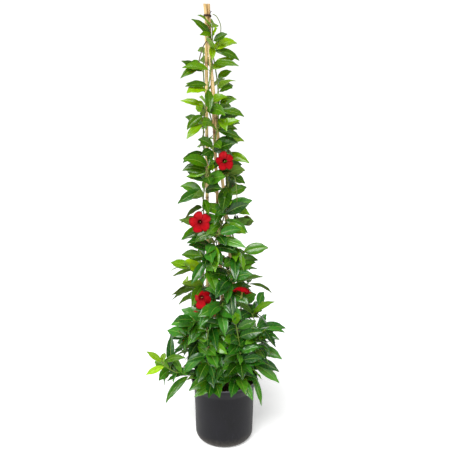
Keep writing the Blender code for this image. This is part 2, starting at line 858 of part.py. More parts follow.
def draw_leaf(rng, spot, way, out, sign, odd, shoot, share, attempt):
    """One candidate leaf of an opposite pair."""
    loose = 0.15 + 0.10 * attempt
    spread = (1.75 if odd else 0.85) + rng.uniform(-loose, loose)
    turn = sign * spread
    c, s = math.cos(turn), math.sin(turn)
    level = Vector((out.x * c - out.y * s, out.x * s + out.y * c, 0)).normalized()
    rise = shoot.rise + 0.3 * min(1.0, spot.z) - 0.2 + rng.uniform(-0.35, 0.35)
    rise += 0.06 * rng.uniform(-attempt, attempt)
    start = (level + Vector((0, 0, rise)) + way * 0.25).normalized()
    length = shoot.size * rng.uniform(0.86, 1.12) * (1 - 0.24 * share)
    length *= 1 - 0.02 * attempt
    width = length * rng.uniform(0.34, 0.43)
    bend = rng.uniform(0.4, 1.25)
    light = out * rng.uniform(0.5, 1.1) + Vector((0, 0, rng.uniform(0.3, 0.8)))
    light += level.cross(Vector((0, 0, 1))) * rng.uniform(-0.3, 0.3)
    hook = rng.uniform(-1.6, 1.6)
    return Leaf(spot, start, length, width, bend, light, hook)


def place_leaves(garden, owner, number, shoot):
    """Leaf pairs along one shoot; a leaf that finds no clear place is left out."""
    placed = []
    is_vine = number == 0 and owner.startswith("vine")
    total = route_length(shoot.points)
    reach = shoot.first * total
    stop = total - (0.012 if is_vine else 0.002)
    steps = random.Random("pairs %s %d" % (owner, number))
    index = steps.randrange(2)
    while reach < stop:
        share = reach / total
        spot, way = along(shoot.points, share)
        if is_vine:
            middle = tripod_middle(spot.z)
        else:
            middle = Vector((shoot.points[0].x, shoot.points[0].y))
        out = Vector((spot.x - middle.x, spot.y - middle.y, 0)).normalized()
        for sign in (-1, 1):
            rng = random.Random("%s %d %d %d" % (owner, number, index, sign))
            root = spot + jitter(rng, 0.0004)
            for attempt in range(14):
                leaf = draw_leaf(rng, root, way, out, sign, index % 2, shoot, share, attempt)
                if not garden.blocked(leaf, owner):
                    placed.append(leaf)
                    garden.add_leaf(leaf, owner)
                    break
        index += 1
        reach += shoot.spacing * steps.uniform(0.88, 1.12)
    return placed


def nearest_on(points, target):
    best = None
    for k in range(200):
        spot, way = along(points, 0.1 + 0.88 * k / 199)
        far = (spot - target).length
        if best is None or far < best[0]:
            best = (far, spot)
    return best[1]


def bloom_owner(nodes, bloom):
    """The vine whose stem runs nearest below a bloom, and the point it grows from."""
    middle, face, side, up = bloom_frame(bloom)
    target = middle - face * 0.04 - Vector((0, 0, 0.035))
    best = None
    for name in (v[0] for v in VINES):
        spot = nearest_on(nodes[name][0].points, target)
        far = (spot - target).length
        if best is None or far < best[0]:
            best = (far, name, spot)
    return best[1], best[2]


def bud_stalk(tip, origin):
    """A closed bud on its stalk."""
    out = (tip - origin).normalized()
    bend = origin.lerp(tip, 0.55) - Vector((0, 0, 0.005))
    points = [origin, bend, tip - out * 0.021, tip - out * 0.016, tip - out * 0.008, tip]
    return tube(points, [0.0012, 0.0012, 0.0013, 0.0031, 0.0030, 0.0], 5)


def vine_at(nodes, height, near):
    """The vine and the point on it at a height, closest to a given place."""
    best = None
    for vine in VINES:
        points = nodes[vine[0]][0].points
        for a, b in zip(points, points[1:]):
            if a.z <= height < b.z:
                spot = a.lerp(b, (height - a.z) / (b.z - a.z))
                far = (spot - near).length
                if best is None or far < best[0]:
                    best = (far, vine[0], spot)
    return best[1], best[2]


def place_aimed(garden, nodes, leaves):
    """The leaves with a place of their own, nudged where one would cross a neighbour."""
    jobs = []
    for owner, rows in AIMED.items():
        for share, tip, width in rows:
            root = along(nodes[owner][0].points, share)[0]
            jobs.append((owner, root, Vector(tip) * 0.001, width * 0.001))
    for height, tip, width in AIMED_ON_VINES:
        target = Vector(tip) * 0.001
        owner, root = vine_at(nodes, height * 0.001, target)
        jobs.append((owner, root, target, width * 0.001))
    for owner, root, target, width in jobs:
        rng = random.Random("%s %.3f %.3f %.3f" % (owner, target.x, target.y, target.z))
        root = root + jitter(rng, 0.0004)
        for attempt in range(16):
            loose = 0.0022 * attempt
            nudge = Vector([rng.uniform(-loose, loose) for _ in range(3)])
            leaf = aimed_leaf(root, target + nudge, width, rng.uniform(0.35, 0.9), rng)
            if not garden.blocked(leaf, owner):
                leaves[owner].append(leaf)
                garden.add_leaf(leaf, owner)
                break
        else:
            print("no place:", owner, tuple(target))


def build_plant(fixed):
    nodes = collect_shoots()
    garden = Garden()
    for solid in fixed:
        garden.add(solid)
    stems = {name: [] for name in nodes}
    for bloom in BLOOMS:
        owner, origin = bloom_owner(nodes, bloom)
        stalk = bloom_stalk(bloom, origin)
        stems[owner].append(stalk)
        garden.add(stalk, owner)
        garden.add(corolla_solid(bloom))
        garden.add(view_guard(bloom))
    for tip in BUDS:
        place = Vector(tip) * 0.001
        owner, origin = vine_at(nodes, place.z - 0.03, place)
        stems[owner].append(bud_stalk(place, origin))
        garden.add(stems[owner][-1], owner)
    corners = [Vector(c) * 0.001 for c in LOOP_SHOOT]
    owner, origin = vine_at(nodes, 1.392, corners[0])
    stems[owner].append(tube(smooth_route([origin] + corners, 10), [0.0014] * 11, 4))
    garden.add(stems[owner][-1], owner)
    for name, shoots in nodes.items():
        for shoot in shoots:
            stems[name].append(shoot.solid())
            garden.add(stems[name][-1], name)
    leaves = {name: [] for name in nodes}
    place_aimed(garden, nodes, leaves)
    for name, shoots in nodes.items():
        for number, shoot in enumerate(shoots):
            leaves[name] += place_leaves(garden, name, number, shoot)
    print("leaves placed:", sum(len(found) for found in leaves.values()))
    return nodes, stems, leaves


def fuse(name, stems, leaves, mat):
    """One body from a node's stems and leaves.

    Leaves that meet at a hair's breadth leave a flaw, so the leaf nearest to a flaw is
    shifted a little, and left out when six shifts do not help.
    """
    order = sorted(stems, key=lambda s: -len(s[0]))
    rng = random.Random("shift " + name)
    shifts = {k: jitter(rng, 0.0002) for k in range(len(leaves))}
    tries = {k: 0 for k in shifts}
    for attempt in range(80):
        pieces = order[1:]
        for k, shift in shifts.items():
            verts, faces = leaves[k].solid()
            pieces.append(([v + shift for v in verts], faces))
        body = to_object(name, order[0], mat)
        solve(body, group_of(pieces, mat), "UNION")
        tidy(body)
        flaw = flaw_in(body)
        if flaw is None:
            print(name, "sound after", attempt, "shifts, leaves", len(shifts))
            return body
        bpy.data.objects.remove(body, do_unlink=True)
        worst = min(shifts, key=lambda k: min((p - flaw).length for p in leaves[k].spots))
        shifts[worst] = jitter(rng, 0.0002)
        tries[worst] += 1
        if tries[worst] > 6:
            del shifts[worst]
    raise RuntimeError(name + " could not be fused")


def shift_all(objects):
    """Put the middle of the whole plant's box over the origin."""
    low = [min(v.co[i] for o in objects for v in o.data.vertices) for i in range(2)]
    high = [max(v.co[i] for o in objects for v in o.data.vertices) for i in range(2)]
    move = Vector((-(low[0] + high[0]) / 2, -(low[1] + high[1]) / 2, 0))
    print("shift", tuple(move))
    for obj in objects:
        for v in obj.data.vertices:
            v.co += move


def build_all():
    clear_scene()
    pot_mat = make_material("pot_plastic", "2f2e32", 0.55)
    soil_mat = make_material("potting_soil", "3a2a20", 0.95)
    cane_mat = make_material("bamboo", "c9a46a", 0.5)
    tie_mat = make_material("tie_wire", "4a3020", 0.6)
    leaf_mat = make_material("leafy_stem", "3f7a2a", 0.4)
    petal_mat = make_material("petal_red", "cc0018", 0.45)
    parts = [build_pot(pot_mat)]
    canes = [(c[0], cane_solid(c)) for c in CANES]
    for name, solid in canes:
        parts.append(to_object(name, solid, cane_mat))
    parts.append(build_tie(tie_mat))
    fixed = [solid for name, solid in canes]
    fixed.append(lathe(pot_profile(), POT_SIDES))
    fixed.append(soil_solid())
    tie_ring = [Vector((TIE_XY[0], TIE_XY[1], TIE_Z - 0.006)),
                Vector((TIE_XY[0], TIE_XY[1], TIE_Z + 0.022))]
    fixed.append(tube(tie_ring, [0.0165, 0.0165], 10))
    nodes, stems, leaves = build_plant(fixed)
    holes = [cane_hole(c) for c in CANES]
    for name, shoots in nodes.items():
        root, neck = shoots[0].points[:2]
        r = shoots[0].radii[0] + 0.0007
        slope = (neck - root) / (neck.z - root.z)
        holes.append(tube([root - slope * GAP, root + slope * 0.11], [r, r], 6))
    parts.append(build_soil(holes, soil_mat))
    for name in nodes:
        parts.append(fuse(name, stems[name], leaves[name], leaf_mat))
    for bloom in BLOOMS:
        parts.append(to_object(bloom[0], corolla_solid(bloom), petal_mat))
    shift_all(parts)
    for obj in parts:
        print(obj.name, len(obj.data.polygons))
    print("triangles", sum(len(o.data.polygons) for o in parts))


build_all()
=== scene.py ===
"""Looks of the potted red mandevilla on three bamboo canes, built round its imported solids.

The leaves, stems and blooms stand where the solids have theirs: the same seeded draws
are made again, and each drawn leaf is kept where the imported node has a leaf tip.
Metres, +Z up, the viewer on the -Y side.
"""

import json
import math
import random
from collections import namedtuple

import bpy
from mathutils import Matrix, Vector, noise
from mathutils.kdtree import KDTree

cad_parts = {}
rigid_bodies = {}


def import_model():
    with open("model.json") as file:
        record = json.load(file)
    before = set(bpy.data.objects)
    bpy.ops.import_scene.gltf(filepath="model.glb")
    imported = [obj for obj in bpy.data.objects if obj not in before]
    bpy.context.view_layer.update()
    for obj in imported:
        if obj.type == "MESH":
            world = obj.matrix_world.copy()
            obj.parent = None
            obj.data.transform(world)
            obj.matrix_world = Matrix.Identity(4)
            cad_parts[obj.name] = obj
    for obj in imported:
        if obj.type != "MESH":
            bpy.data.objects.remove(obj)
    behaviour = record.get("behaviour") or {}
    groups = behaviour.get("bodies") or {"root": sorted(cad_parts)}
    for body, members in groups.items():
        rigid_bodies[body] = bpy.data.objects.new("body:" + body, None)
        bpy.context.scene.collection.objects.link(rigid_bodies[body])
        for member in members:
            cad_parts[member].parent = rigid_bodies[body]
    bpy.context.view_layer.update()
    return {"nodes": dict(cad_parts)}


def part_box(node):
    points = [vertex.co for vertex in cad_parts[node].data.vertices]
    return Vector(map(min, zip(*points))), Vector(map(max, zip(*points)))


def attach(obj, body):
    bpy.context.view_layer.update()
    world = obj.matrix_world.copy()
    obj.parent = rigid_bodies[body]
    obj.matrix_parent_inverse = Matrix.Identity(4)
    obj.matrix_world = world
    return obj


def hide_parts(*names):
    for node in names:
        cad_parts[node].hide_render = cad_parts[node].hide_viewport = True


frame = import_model()


# Pot
# A 3 gallon nursery pot, blow moulded in black polyethylene with a rounded foot, a flared
# collar and a thin rim. It stands on its flat floor, which has four drain holes.

pot_low, pot_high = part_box("pot")
pot_axis = Vector(((pot_low.x + pot_high.x) / 2, (pot_low.y + pot_high.y) / 2, 0))
RIM_R = (pot_high.x - pot_low.x) / 2
POT_H = pot_high.z
POT_TOP_R = RIM_R - 0.0123         # body radius under the collar
POT_LOW_R = RIM_R - 0.0158         # body radius above the foot's rounding
POT_EDGE = 0.029                   # rounding of the foot
WALL = 0.002
POT_SIDES = 112
HOLE_OUT = 0.064                   # drain holes' distance from the axis
HOLE_R = 0.007


def linear(code):
    """Linear colour from an sRGB hex code."""
    out = []
    for k in (0, 2, 4):
        c = int(code[k:k + 2], 16) / 255
        out.append(c / 12.92 if c <= 0.04045 else ((c + 0.055) / 1.055) ** 2.4)
    return out[0], out[1], out[2], 1.0


def new_finish(name):
    mat = bpy.data.materials.new(name)
    mat.use_nodes = True
    return mat


def join(mat, links, node):
    """Link sources into a node; a node given as a source stands for its first output."""
    for key, source in links.items():
        output = source.outputs[0] if hasattr(source, "outputs") else source
        mat.node_tree.links.new(output, node.inputs[key])


def add_node(mat, kind, settings=None, links=None, ramp=None):
    """A shader node with its settings, the links into it, and its ramp's stops."""
    node = mat.node_tree.nodes.new("ShaderNode" + kind)
    for key, value in (settings or {}).items():
        if isinstance(key, str) and hasattr(node, key):
            setattr(node, key, value)
        else:
            node.inputs[key].default_value = value
    join(mat, links or {}, node)
    if ramp:
        stops = node.color_ramp.elements
        while len(stops) < len(ramp):
            stops.new(1.0)
        for stop, (place, value) in zip(stops, ramp):
            stop.position = place
            stop.color = linear(value) if isinstance(value, str) else (value, value, value, 1)
    return node


def dress(mat, settings, links):
    """Set and link the sockets of a material's Principled shader."""
    shader = mat.node_tree.nodes["Principled BSDF"]
    for key, value in settings.items():
        shader.inputs[key].default_value = value
    join(mat, links, shader)


class Shape:
    """Corners and faces of one piece as it is put together, with two facts a corner."""

    def __init__(self):
        self.verts = []
        self.faces = []
        self.place = []
        self.tint = []

    def add(self, verts, faces, place=None, tint=(0, 0, 0)):
        start = len(self.verts)
        self.verts += verts
        self.faces += [tuple(start + i for i in face) for face in faces]
        self.place += place or [(0, 0, 0)] * len(verts)
        self.tint += tint if isinstance(tint, list) else [tint] * len(verts)

    def to_piece(self, name, mat, sharp):
        """The finished mesh object, its edges over the sharp angle left crisp."""
        mesh = bpy.data.meshes.new(name)
        mesh.from_pydata([tuple(v + pot_axis) for v in self.verts], [], self.faces)
        for label, rows in (("place", self.place), ("tint", self.tint)):
            layer = mesh.attributes.new(label, "FLOAT_VECTOR", "POINT")
            layer.data.foreach_set("vector", [c for row in rows for c in row])
        mesh.materials.append(mat)
        mesh.shade_smooth()
        mesh.set_sharp_from_angle(angle=math.radians(sharp))
        piece = bpy.data.objects.new(name, mesh)
        bpy.context.scene.collection.objects.link(piece)
        return piece


def ring_faces(rings, sides, start=0):
    """Faces between rings of corners that follow one another from a first corner."""
    faces = []
    for a in range(start, start + (rings - 1) * sides, sides):
        b = a + sides
        for k in range(sides):
            n = (k + 1) % sides
            faces.append((a + k, a + n, b + n, b + k))
    return faces


def lathe(profile, sides):
    """Corners and faces turned round Z from a profile whose two ends lie on the axis."""
    verts = [Vector((0, 0, profile[0][1]))]
    for radius, z in profile[1:-1]:
        for k in range(sides):
            a = 2 * math.pi * k / sides
            verts.append(Vector((radius * math.cos(a), radius * math.sin(a), z)))
    verts.append(Vector((0, 0, profile[-1][1])))
    faces = ring_faces(len(profile) - 2, sides, 1)
    last = len(verts) - 1 - sides
    for k in range(sides):
        n = (k + 1) % sides
        faces += [(0, 1 + n, 1 + k), (last + k, last + n, last + sides)]
    return verts, faces


def pot_profile():
    """Outer side from the floor up, over the rim and down the inner side."""
    out = [(0.0, 0.0012), (0.050, 0.0010), (0.058, 0.0)]
    mid = POT_LOW_R - POT_EDGE
    for k in range(13):
        a = math.radians(90 - 7.5 * k)
        out.append((mid + POT_EDGE * math.cos(a), POT_EDGE * (1 - math.sin(a))))
    for z in (0.060, 0.100, 0.140, 0.180, 0.198):
        share = (z - POT_EDGE) / (0.204 - POT_EDGE)
        out.append((POT_LOW_R + (POT_TOP_R - POT_LOW_R) * share, z))
    out += [(POT_TOP_R + 0.0003, 0.2030), (POT_TOP_R + 0.0010, 0.2062),
            (POT_TOP_R + 0.0024, 0.2092), (RIM_R - 0.0030, 0.2268),
            (RIM_R - 0.0018, 0.2292), (RIM_R - 0.0018, 0.2306), (RIM_R - 0.0006, 0.2322),
            (RIM_R - 0.0006, 0.2388), (RIM_R - 0.0001, 0.2398), (RIM_R, POT_H - 0.0018),
            (RIM_R - 0.0004, POT_H - 0.0006), (RIM_R - 0.0012, POT_H),
            (RIM_R - WALL, POT_H - 0.0006), (RIM_R - WALL - 0.0004, 0.2330),
            (RIM_R - WALL - 0.0024, 0.2290), (POT_TOP_R + 0.0010 - WALL, 0.2090),
            (POT_TOP_R - WALL, 0.2030)]
    for k in range(12, -1, -1):
        a = math.radians(90 - 7.5 * k)
        r = POT_EDGE - WALL
        out.append((mid + r * math.cos(a), POT_EDGE - r * math.sin(a)))
    out += [(0.058, WALL), (0.0, WALL + 0.0004)]
    return out


def pot_shape():
    """The turned pot with its two mould seams and the slight waves of a blown wall."""
    verts, faces = lathe(pot_profile(), POT_SIDES)
    for v in verts:
        out = Vector((v.x, v.y, 0))
        if out.length < 0.09 or v.z > 0.236:
            continue
        seam = math.exp(-(math.sin(math.atan2(v.y, v.x) + 0.35) / 0.022) ** 2)
        wave = noise.noise(Vector((v.x * 9, v.y * 9, v.z * 14)))
        v += out.normalized() * (0.00035 * seam + 0.0005 * wave)
    return verts, faces


def drain(piece):
    """Cut the four drain holes through the floor."""
    holes = bpy.data.collections.new("drain_holes")
    for k in range(4):
        a = math.radians(45 + 90 * k)
        foot = Vector((math.cos(a), math.sin(a), 0)) * HOLE_OUT + pot_axis
        plug = [(0.0, -0.004), (HOLE_R, -0.004), (HOLE_R, 0.006), (0.0, 0.006)]
        verts, faces = lathe(plug, 24)
        mesh = bpy.data.meshes.new("drain_hole")
        mesh.from_pydata([tuple(v + foot) for v in verts], [], faces)
        holes.objects.link(bpy.data.objects.new("drain_hole", mesh))
    mod = piece.modifiers.new("drain", "BOOLEAN")
    mod.operand_type = "COLLECTION"
    mod.collection = holes
    mod.solver = "EXACT"
    graph = bpy.context.evaluated_depsgraph_get()
    drained = bpy.data.meshes.new_from_object(piece.evaluated_get(graph))
    piece.modifiers.clear()
    piece.data = drained
    for hole in list(holes.objects):
        bpy.data.objects.remove(hole, do_unlink=True)
    bpy.data.collections.remove(holes)


# Blow-moulded black polyethylene: satin and faintly mottled, with fine upright scuffs, a
# painted highlight on the lip, and patchy pale dust low down where it has stood on the ground.
moulded = new_finish("black_moulded_polyethylene")
coord = add_node(moulded, "TexCoord").outputs["Object"]
height = add_node(moulded, "SeparateXYZ", links={"Vector": coord}).outputs["Z"]
mottle = add_node(moulded, "TexNoise", {"Scale": 16.0, "Detail": 6.0, "Roughness": 0.62},
                  {"Vector": coord})
upright = add_node(moulded, "Mapping", {"Scale": (34.0, 34.0, 5.0)}, {"Vector": coord})
scuffs = add_node(moulded, "TexNoise", {"Scale": 5.0, "Detail": 8.0, "Roughness": 0.7},
                  {"Vector": upright})
scuff_mask = add_node(moulded, "ValToRGB", links={"Fac": scuffs}, ramp=[(0.60, 0.0), (0.78, 0.7)])
body_tone = add_node(moulded, "ValToRGB", links={"Fac": mottle},
                     ramp=[(0.30, "06060a"), (0.72, "111017")])
scuffed = add_node(moulded, "MixRGB", {"Color2": linear("33313a")},
                   {"Fac": scuff_mask, "Color1": body_tone})
low = add_node(moulded, "MapRange", {"From Min": 0.066, "From Max": 0.004}, {"Value": height})
grain = add_node(moulded, "TexNoise", {"Scale": 95.0, "Detail": 8.0, "Roughness": 0.78},
                 {"Vector": coord})
dust = add_node(moulded, "Math", {"operation": "MULTIPLY"}, {0: low, 1: grain})
dust_mask = add_node(moulded, "ValToRGB", links={"Fac": dust}, ramp=[(0.20, 0.0), (0.52, 0.85)])
dusted = add_node(moulded, "MixRGB", {"Color2": linear("443f38")},
                  {"Fac": dust_mask, "Color1": scuffed})
# Painted highlight: the lip is drawn light grey, standing for the light that catches the rim.
painted_rim_highlight = add_node(moulded, "ValToRGB", links={"Fac": height},
               ramp=[(0.2388, 0.0), (0.2396, 0.55), (0.2436, 0.55)])
rim_highlighted = add_node(moulded, "MixRGB", {"Color2": linear("7a7880")},
                   {"Fac": painted_rim_highlight, "Color1": dusted})
sheen = add_node(moulded, "MapRange", {"To Min": 0.40, "To Max": 0.62}, {"Value": mottle})
peel = add_node(moulded, "TexNoise", {"Scale": 320.0, "Detail": 3.0}, {"Vector": coord})
skin = add_node(moulded, "Bump", {"Strength": 0.25, "Distance": 0.0004}, {"Height": peel})
dress(moulded, {"Specular IOR Level": 0.25},
      {"Base Color": rim_highlighted, "Roughness": sheen, "Normal": skin})

pot_form = Shape()
pot_form.add(*pot_shape())
pot_piece = pot_form.to_piece("nursery_pot", moulded, 40)
drain(pot_piece)
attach(pot_piece, "root")
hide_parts("pot")


# Potting soil
# A loose peat and bark mix that fills the pot to just under the collar. Bark chips, crumbs
# and a few white grains of perlite lie on the top.

SOIL_EDGE_Z = 0.214                # level at the pot wall
SOIL_MID_Z = 0.221                 # level at the crown of the plant
GAP = 0.0003                       # clearance between pieces that rest in one another
SOIL_R = POT_TOP_R + 0.0034 - WALL - GAP


def soil_level(x, y):
    """Height of the soil's top, with its lumps."""
    r = math.hypot(x, y) / SOIL_R
    level = SOIL_MID_Z + (SOIL_EDGE_Z - SOIL_MID_Z) * r ** 2
    lumps = noise.noise(Vector((x * 45, y * 45, 3.1))) * 0.0022
    crumbs = noise.noise(Vector((x * 190, y * 190, 0.7))) * 0.0014
    return level + (lumps + crumbs) * (1 - r ** 6)


def soil_bed():
    """The whole mass: the rounded foot and sides inside the pot, and the lumpy top."""
    rings = 40
    sides = 120
    gap = WALL + GAP
    profile = [(0.0, gap), (POT_LOW_R - POT_EDGE, gap),
               (POT_LOW_R - 0.0085 - gap, 0.0085 + gap), (POT_LOW_R - gap, POT_EDGE),
               (POT_TOP_R - gap, 0.204)]
    top = 1 + (len(profile) - 1) * sides
    profile += [(SOIL_R * (k / rings) ** 0.85, 0.0) for k in range(rings, -1, -1)]
    verts, faces = lathe(profile, sides)
    for v in verts[top:]:
        v.z = soil_level(v.x, v.y)
    return verts, faces


def crumb(middle, size, flat, rng):
    """A rough eight-sided lump or chip, its corners drawn in and out."""
    turn = rng.uniform(0, math.pi)
    tilt = rng.uniform(-0.5, 0.5)
    long = Vector((math.cos(turn), math.sin(turn), tilt)).normalized()
    wide = long.cross(Vector((0, 0, 1))).normalized()
    up = wide.cross(long)
    verts = []
    for z in (-1, 1):
        for k in range(5):
            a = 2 * math.pi * k / 5 + 0.4 * z
            r = size * rng.uniform(0.55, 1.0)
            verts.append(middle + long * r * math.cos(a) + wide * r * 0.7 * math.sin(a)
                         + up * z * size * flat * rng.uniform(0.35, 0.75))
    verts.append(middle - up * size * flat)
    verts.append(middle + up * size * flat)
    faces = []
    for k in range(5):
        n = (k + 1) % 5
        faces += [(k, 5 + n, 5 + k), (k, n, 5 + n), (10, n, k), (11, 5 + k, 5 + n)]
    return verts, faces


# Peat and bark potting mix: matt and nearly black where damp, with red-brown fibres and
# bark, and chalk-white perlite. The tint's first number picks the grain's own colour.
mix = new_finish("peat_and_bark_mix")
coord = add_node(mix, "TexCoord").outputs["Object"]
own = add_node(mix, "Attribute", {"attribute_name": "tint"}).outputs["Vector"]
shade = add_node(mix, "SeparateXYZ", links={"Vector": own}).outputs["X"]
fibre = add_node(mix, "TexNoise", {"Scale": 130.0, "Detail": 9.0, "Roughness": 0.75},
                 {"Vector": coord})
peat = add_node(mix, "ValToRGB", links={"Fac": fibre},
                ramp=[(0.32, "1a120c"), (0.55, "33231a"), (0.75, "5a412c")])
chip = add_node(mix, "ValToRGB", links={"Fac": shade},
                ramp=[(0.0, "2a1c13"), (0.45, "4a3020"), (0.80, "6b4a31"), (0.93, "7a5a3c"),
                      (0.97, "d8d2c4")])
is_chip = add_node(mix, "ValToRGB", links={"Fac": shade}, ramp=[(0.01, 0.0), (0.03, 0.8)])
earth = add_node(mix, "MixRGB", links={"Fac": is_chip, "Color1": peat, "Color2": chip})
rough = add_node(mix, "Bump", {"Strength": 0.8, "Distance": 0.0012}, {"Height": fibre})
dress(mix, {"Roughness": 0.95, "Specular IOR Level": 0.25},
      {"Base Color": earth, "Normal": rough})

soil_form = Shape()
soil_form.add(*soil_bed())
rng = random.Random("soil crumbs")
for k in range(1500):
    a = rng.uniform(0, 2 * math.pi)
    r = (SOIL_R - 0.004) * math.sqrt(rng.random())
    size = 0.0011 + 0.0034 * rng.random() ** 3
    spot = Vector((r * math.cos(a), r * math.sin(a), 0))
    spot.z = soil_level(spot.x, spot.y) + size * 0.15
    verts, faces = crumb(spot, size, rng.choice((0.35, 0.6, 0.9)), rng)
    soil_form.add(verts, faces, tint=(rng.uniform(0.04, 1.0), 0, 0))
soil_piece = soil_form.to_piece("potting_soil", mix, 30)
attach(soil_piece, "root")
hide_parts("soil")


# Bamboo canes
# Three 5 foot canes cut from thin bamboo culms, sawn off square, so the hollow shows at
# the top. Each growth ring has a raised lip with the scar of its sheath under it.

CANE_FOOT_Z = 0.022
CANE_TOP_Z = 1.536
TIE_Z = 1.500                      # height where the canes cross and are tied
GROUND_Z = 0.200                   # height at which the canes' lower places are given
CANE_R_LOW = 0.0064
CANE_R_TOP = 0.0049
TIE_XY = (-0.0545, 0.0)            # middle of the bundle at the tie
CANE_SIDES = 24

# Each cane: node, place at GROUND_Z, place at TIE_Z from the bundle's middle
CANES = (
    ("cane_left", (-0.058, -0.025), (-0.0029, 0.0059)),
    ("cane_right", (0.070, -0.024), (-0.0031, -0.0058)),
    ("cane_back", (0.005, 0.075), (0.0066, 0.0002)),
)


def cane_place(cane, z):
    low_end = Vector(cane[1])
    high_end = Vector(TIE_XY) + Vector(cane[2])
    return low_end.lerp(high_end, (z - GROUND_Z) / (TIE_Z - GROUND_Z))


def cane_radius(z):
    t = (z - CANE_FOOT_Z) / (CANE_TOP_Z - CANE_FOOT_Z)
    return CANE_R_LOW + (CANE_R_TOP - CANE_R_LOW) * t


def cane_joints(cane):
    """Heights of a cane's growth rings, closer together near its foot."""
    draws = random.Random("rings " + cane[0])
    z = CANE_FOOT_Z + 0.05 + 0.06 * draws.random()
    out = []
    while z < TIE_Z - 0.06:
        out.append(z)
        z += 0.17 + 0.05 * draws.random() + 0.03 * z
    return out


def cane_shape(cane, tone):
    """One cane: its rings of corners up the outside, then down into the hollow top."""
    joints = cane_joints(cane)
    heights = [CANE_FOOT_Z + (CANE_TOP_Z - CANE_FOOT_Z) * k / 80 for k in range(81)]
    for joint in joints:
        heights += [joint + 0.001 * k for k in (-7, -5, -4, -3, -2, -1, 0, 1, 2, 3, 5, 8)]
    heights = sorted(z for z in heights if z <= CANE_TOP_Z)
    rings = []
    for z in heights:
        near = min((z - joint for joint in joints), key=abs)
        swell = 1 + 0.13 * math.exp(-(near / 0.0018) ** 2)
        swell -= 0.05 * math.exp(-((near + 0.0045) / 0.0016) ** 2)
        swell += 0.03 * math.exp(-((near + 0.0085) / 0.0028) ** 2)
        rings.append((z, cane_radius(z) * swell, near))
    wall = CANE_R_TOP * 0.5
    rings += [(CANE_TOP_Z, wall, 0.1), (CANE_TOP_Z - 0.012, wall * 0.9, 0.1)]
    verts = []
    place = []
    for z, r, near in rings:
        spot = cane_place(cane, z)
        for k in range(CANE_SIDES):
            a = 2 * math.pi * k / CANE_SIDES
            out_of_round = 1 + 0.02 * noise.noise(Vector((math.cos(a), math.sin(a), z * 6)))
            verts.append(Vector((spot.x + r * out_of_round * math.cos(a),
                                 spot.y + r * out_of_round * math.sin(a), z)))
            place.append((near * 20, z, k / CANE_SIDES))
    faces = ring_faces(len(rings), CANE_SIDES)
    faces.append(tuple(range(CANE_SIDES - 1, -1, -1)))
    faces.append(tuple(range(len(verts) - CANE_SIDES, len(verts))))
    return verts, faces, place, (tone, 0, 0)


# Dried bamboo skin: straw yellow and a little glossy, streaked lengthways, spotted brown
# with age, darker in a band at each ring, and painted shade in brown near the soil.
bamboo = new_finish("dried_bamboo")
coord = add_node(bamboo, "TexCoord").outputs["Object"]
facts = add_node(bamboo, "Attribute", {"attribute_name": "place"}).outputs["Vector"]
fact = add_node(bamboo, "SeparateXYZ", links={"Vector": facts}).outputs
own = add_node(bamboo, "Attribute", {"attribute_name": "tint"}).outputs["Vector"]
tone = add_node(bamboo, "SeparateXYZ", links={"Vector": own}).outputs["X"]
lengthways = add_node(bamboo, "Mapping", {"Scale": (420.0, 420.0, 9.0)}, {"Vector": coord})
streaks = add_node(bamboo, "TexNoise", {"Scale": 1.0, "Detail": 5.0, "Roughness": 0.6},
                   {"Vector": lengthways})
straw = add_node(bamboo, "ValToRGB", links={"Fac": streaks},
                 ramp=[(0.25, "b89050"), (0.46, "e8c884"), (0.72, "f8e8b8")])
deep = add_node(bamboo, "ValToRGB", links={"Fac": streaks},
                ramp=[(0.25, "7d5a34"), (0.50, "b58a56"), (0.75, "cda873")])
skin_tone = add_node(bamboo, "MixRGB", links={"Fac": tone, "Color1": straw, "Color2": deep})
blotch_way = add_node(bamboo, "Mapping", {"Scale": (90.0, 90.0, 22.0)}, {"Vector": coord})
blotches = add_node(bamboo, "TexNoise", {"Scale": 1.0, "Detail": 7.0, "Roughness": 0.7},
                    {"Vector": blotch_way})
blotch_mask = add_node(bamboo, "ValToRGB", links={"Fac": blotches},
                       ramp=[(0.56, 0.0), (0.72, 0.75)])
aged = add_node(bamboo, "MixRGB", {"Color2": linear("8a6238")},
                {"Fac": blotch_mask, "Color1": skin_tone})
ring_far = add_node(bamboo, "Math", {"operation": "ABSOLUTE"}, {0: fact["X"]})
ring_mask = add_node(bamboo, "ValToRGB", links={"Fac": ring_far},
                     ramp=[(0.0, 0.85), (0.09, 0.55), (0.32, 0.0)])
ringed = add_node(bamboo, "MixRGB", {"Color2": linear("6b4526")},
                  {"Fac": ring_mask, "Color1": aged})
# Painted shade: the canes are drawn browner from 0.5 m down to the soil, under the leaves.
painted_low_shade = add_node(bamboo, "MapRange", {"From Min": 0.50, "From Max": 0.24, "To Max": 0.8},
                {"Value": fact["Y"]})
low_shaded = add_node(bamboo, "MixRGB", {"Color2": linear("96602f")},
                   {"Fac": painted_low_shade, "Color1": ringed})
ribs = add_node(bamboo, "Bump", {"Strength": 0.35, "Distance": 0.0005}, {"Height": streaks})
dress(bamboo, {"Roughness": 0.42, "IOR": 1.5}, {"Base Color": low_shaded, "Normal": ribs})

for cane, tone_share in zip(CANES, (0.0, 0.35, 0.7)):
    cane_form = Shape()
    cane_form.add(*cane_shape(cane, tone_share))
    cane_piece = cane_form.to_piece("bamboo_" + cane[0], bamboo, 40)
    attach(cane_piece, "root")
    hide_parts(cane[0])


# Cane tie
# One length of brown plastic-coated wire wound three times round the crossed canes, its
# two ends twisted together and splayed.

WIRE_R = 0.0011
TIE_TURNS = 3


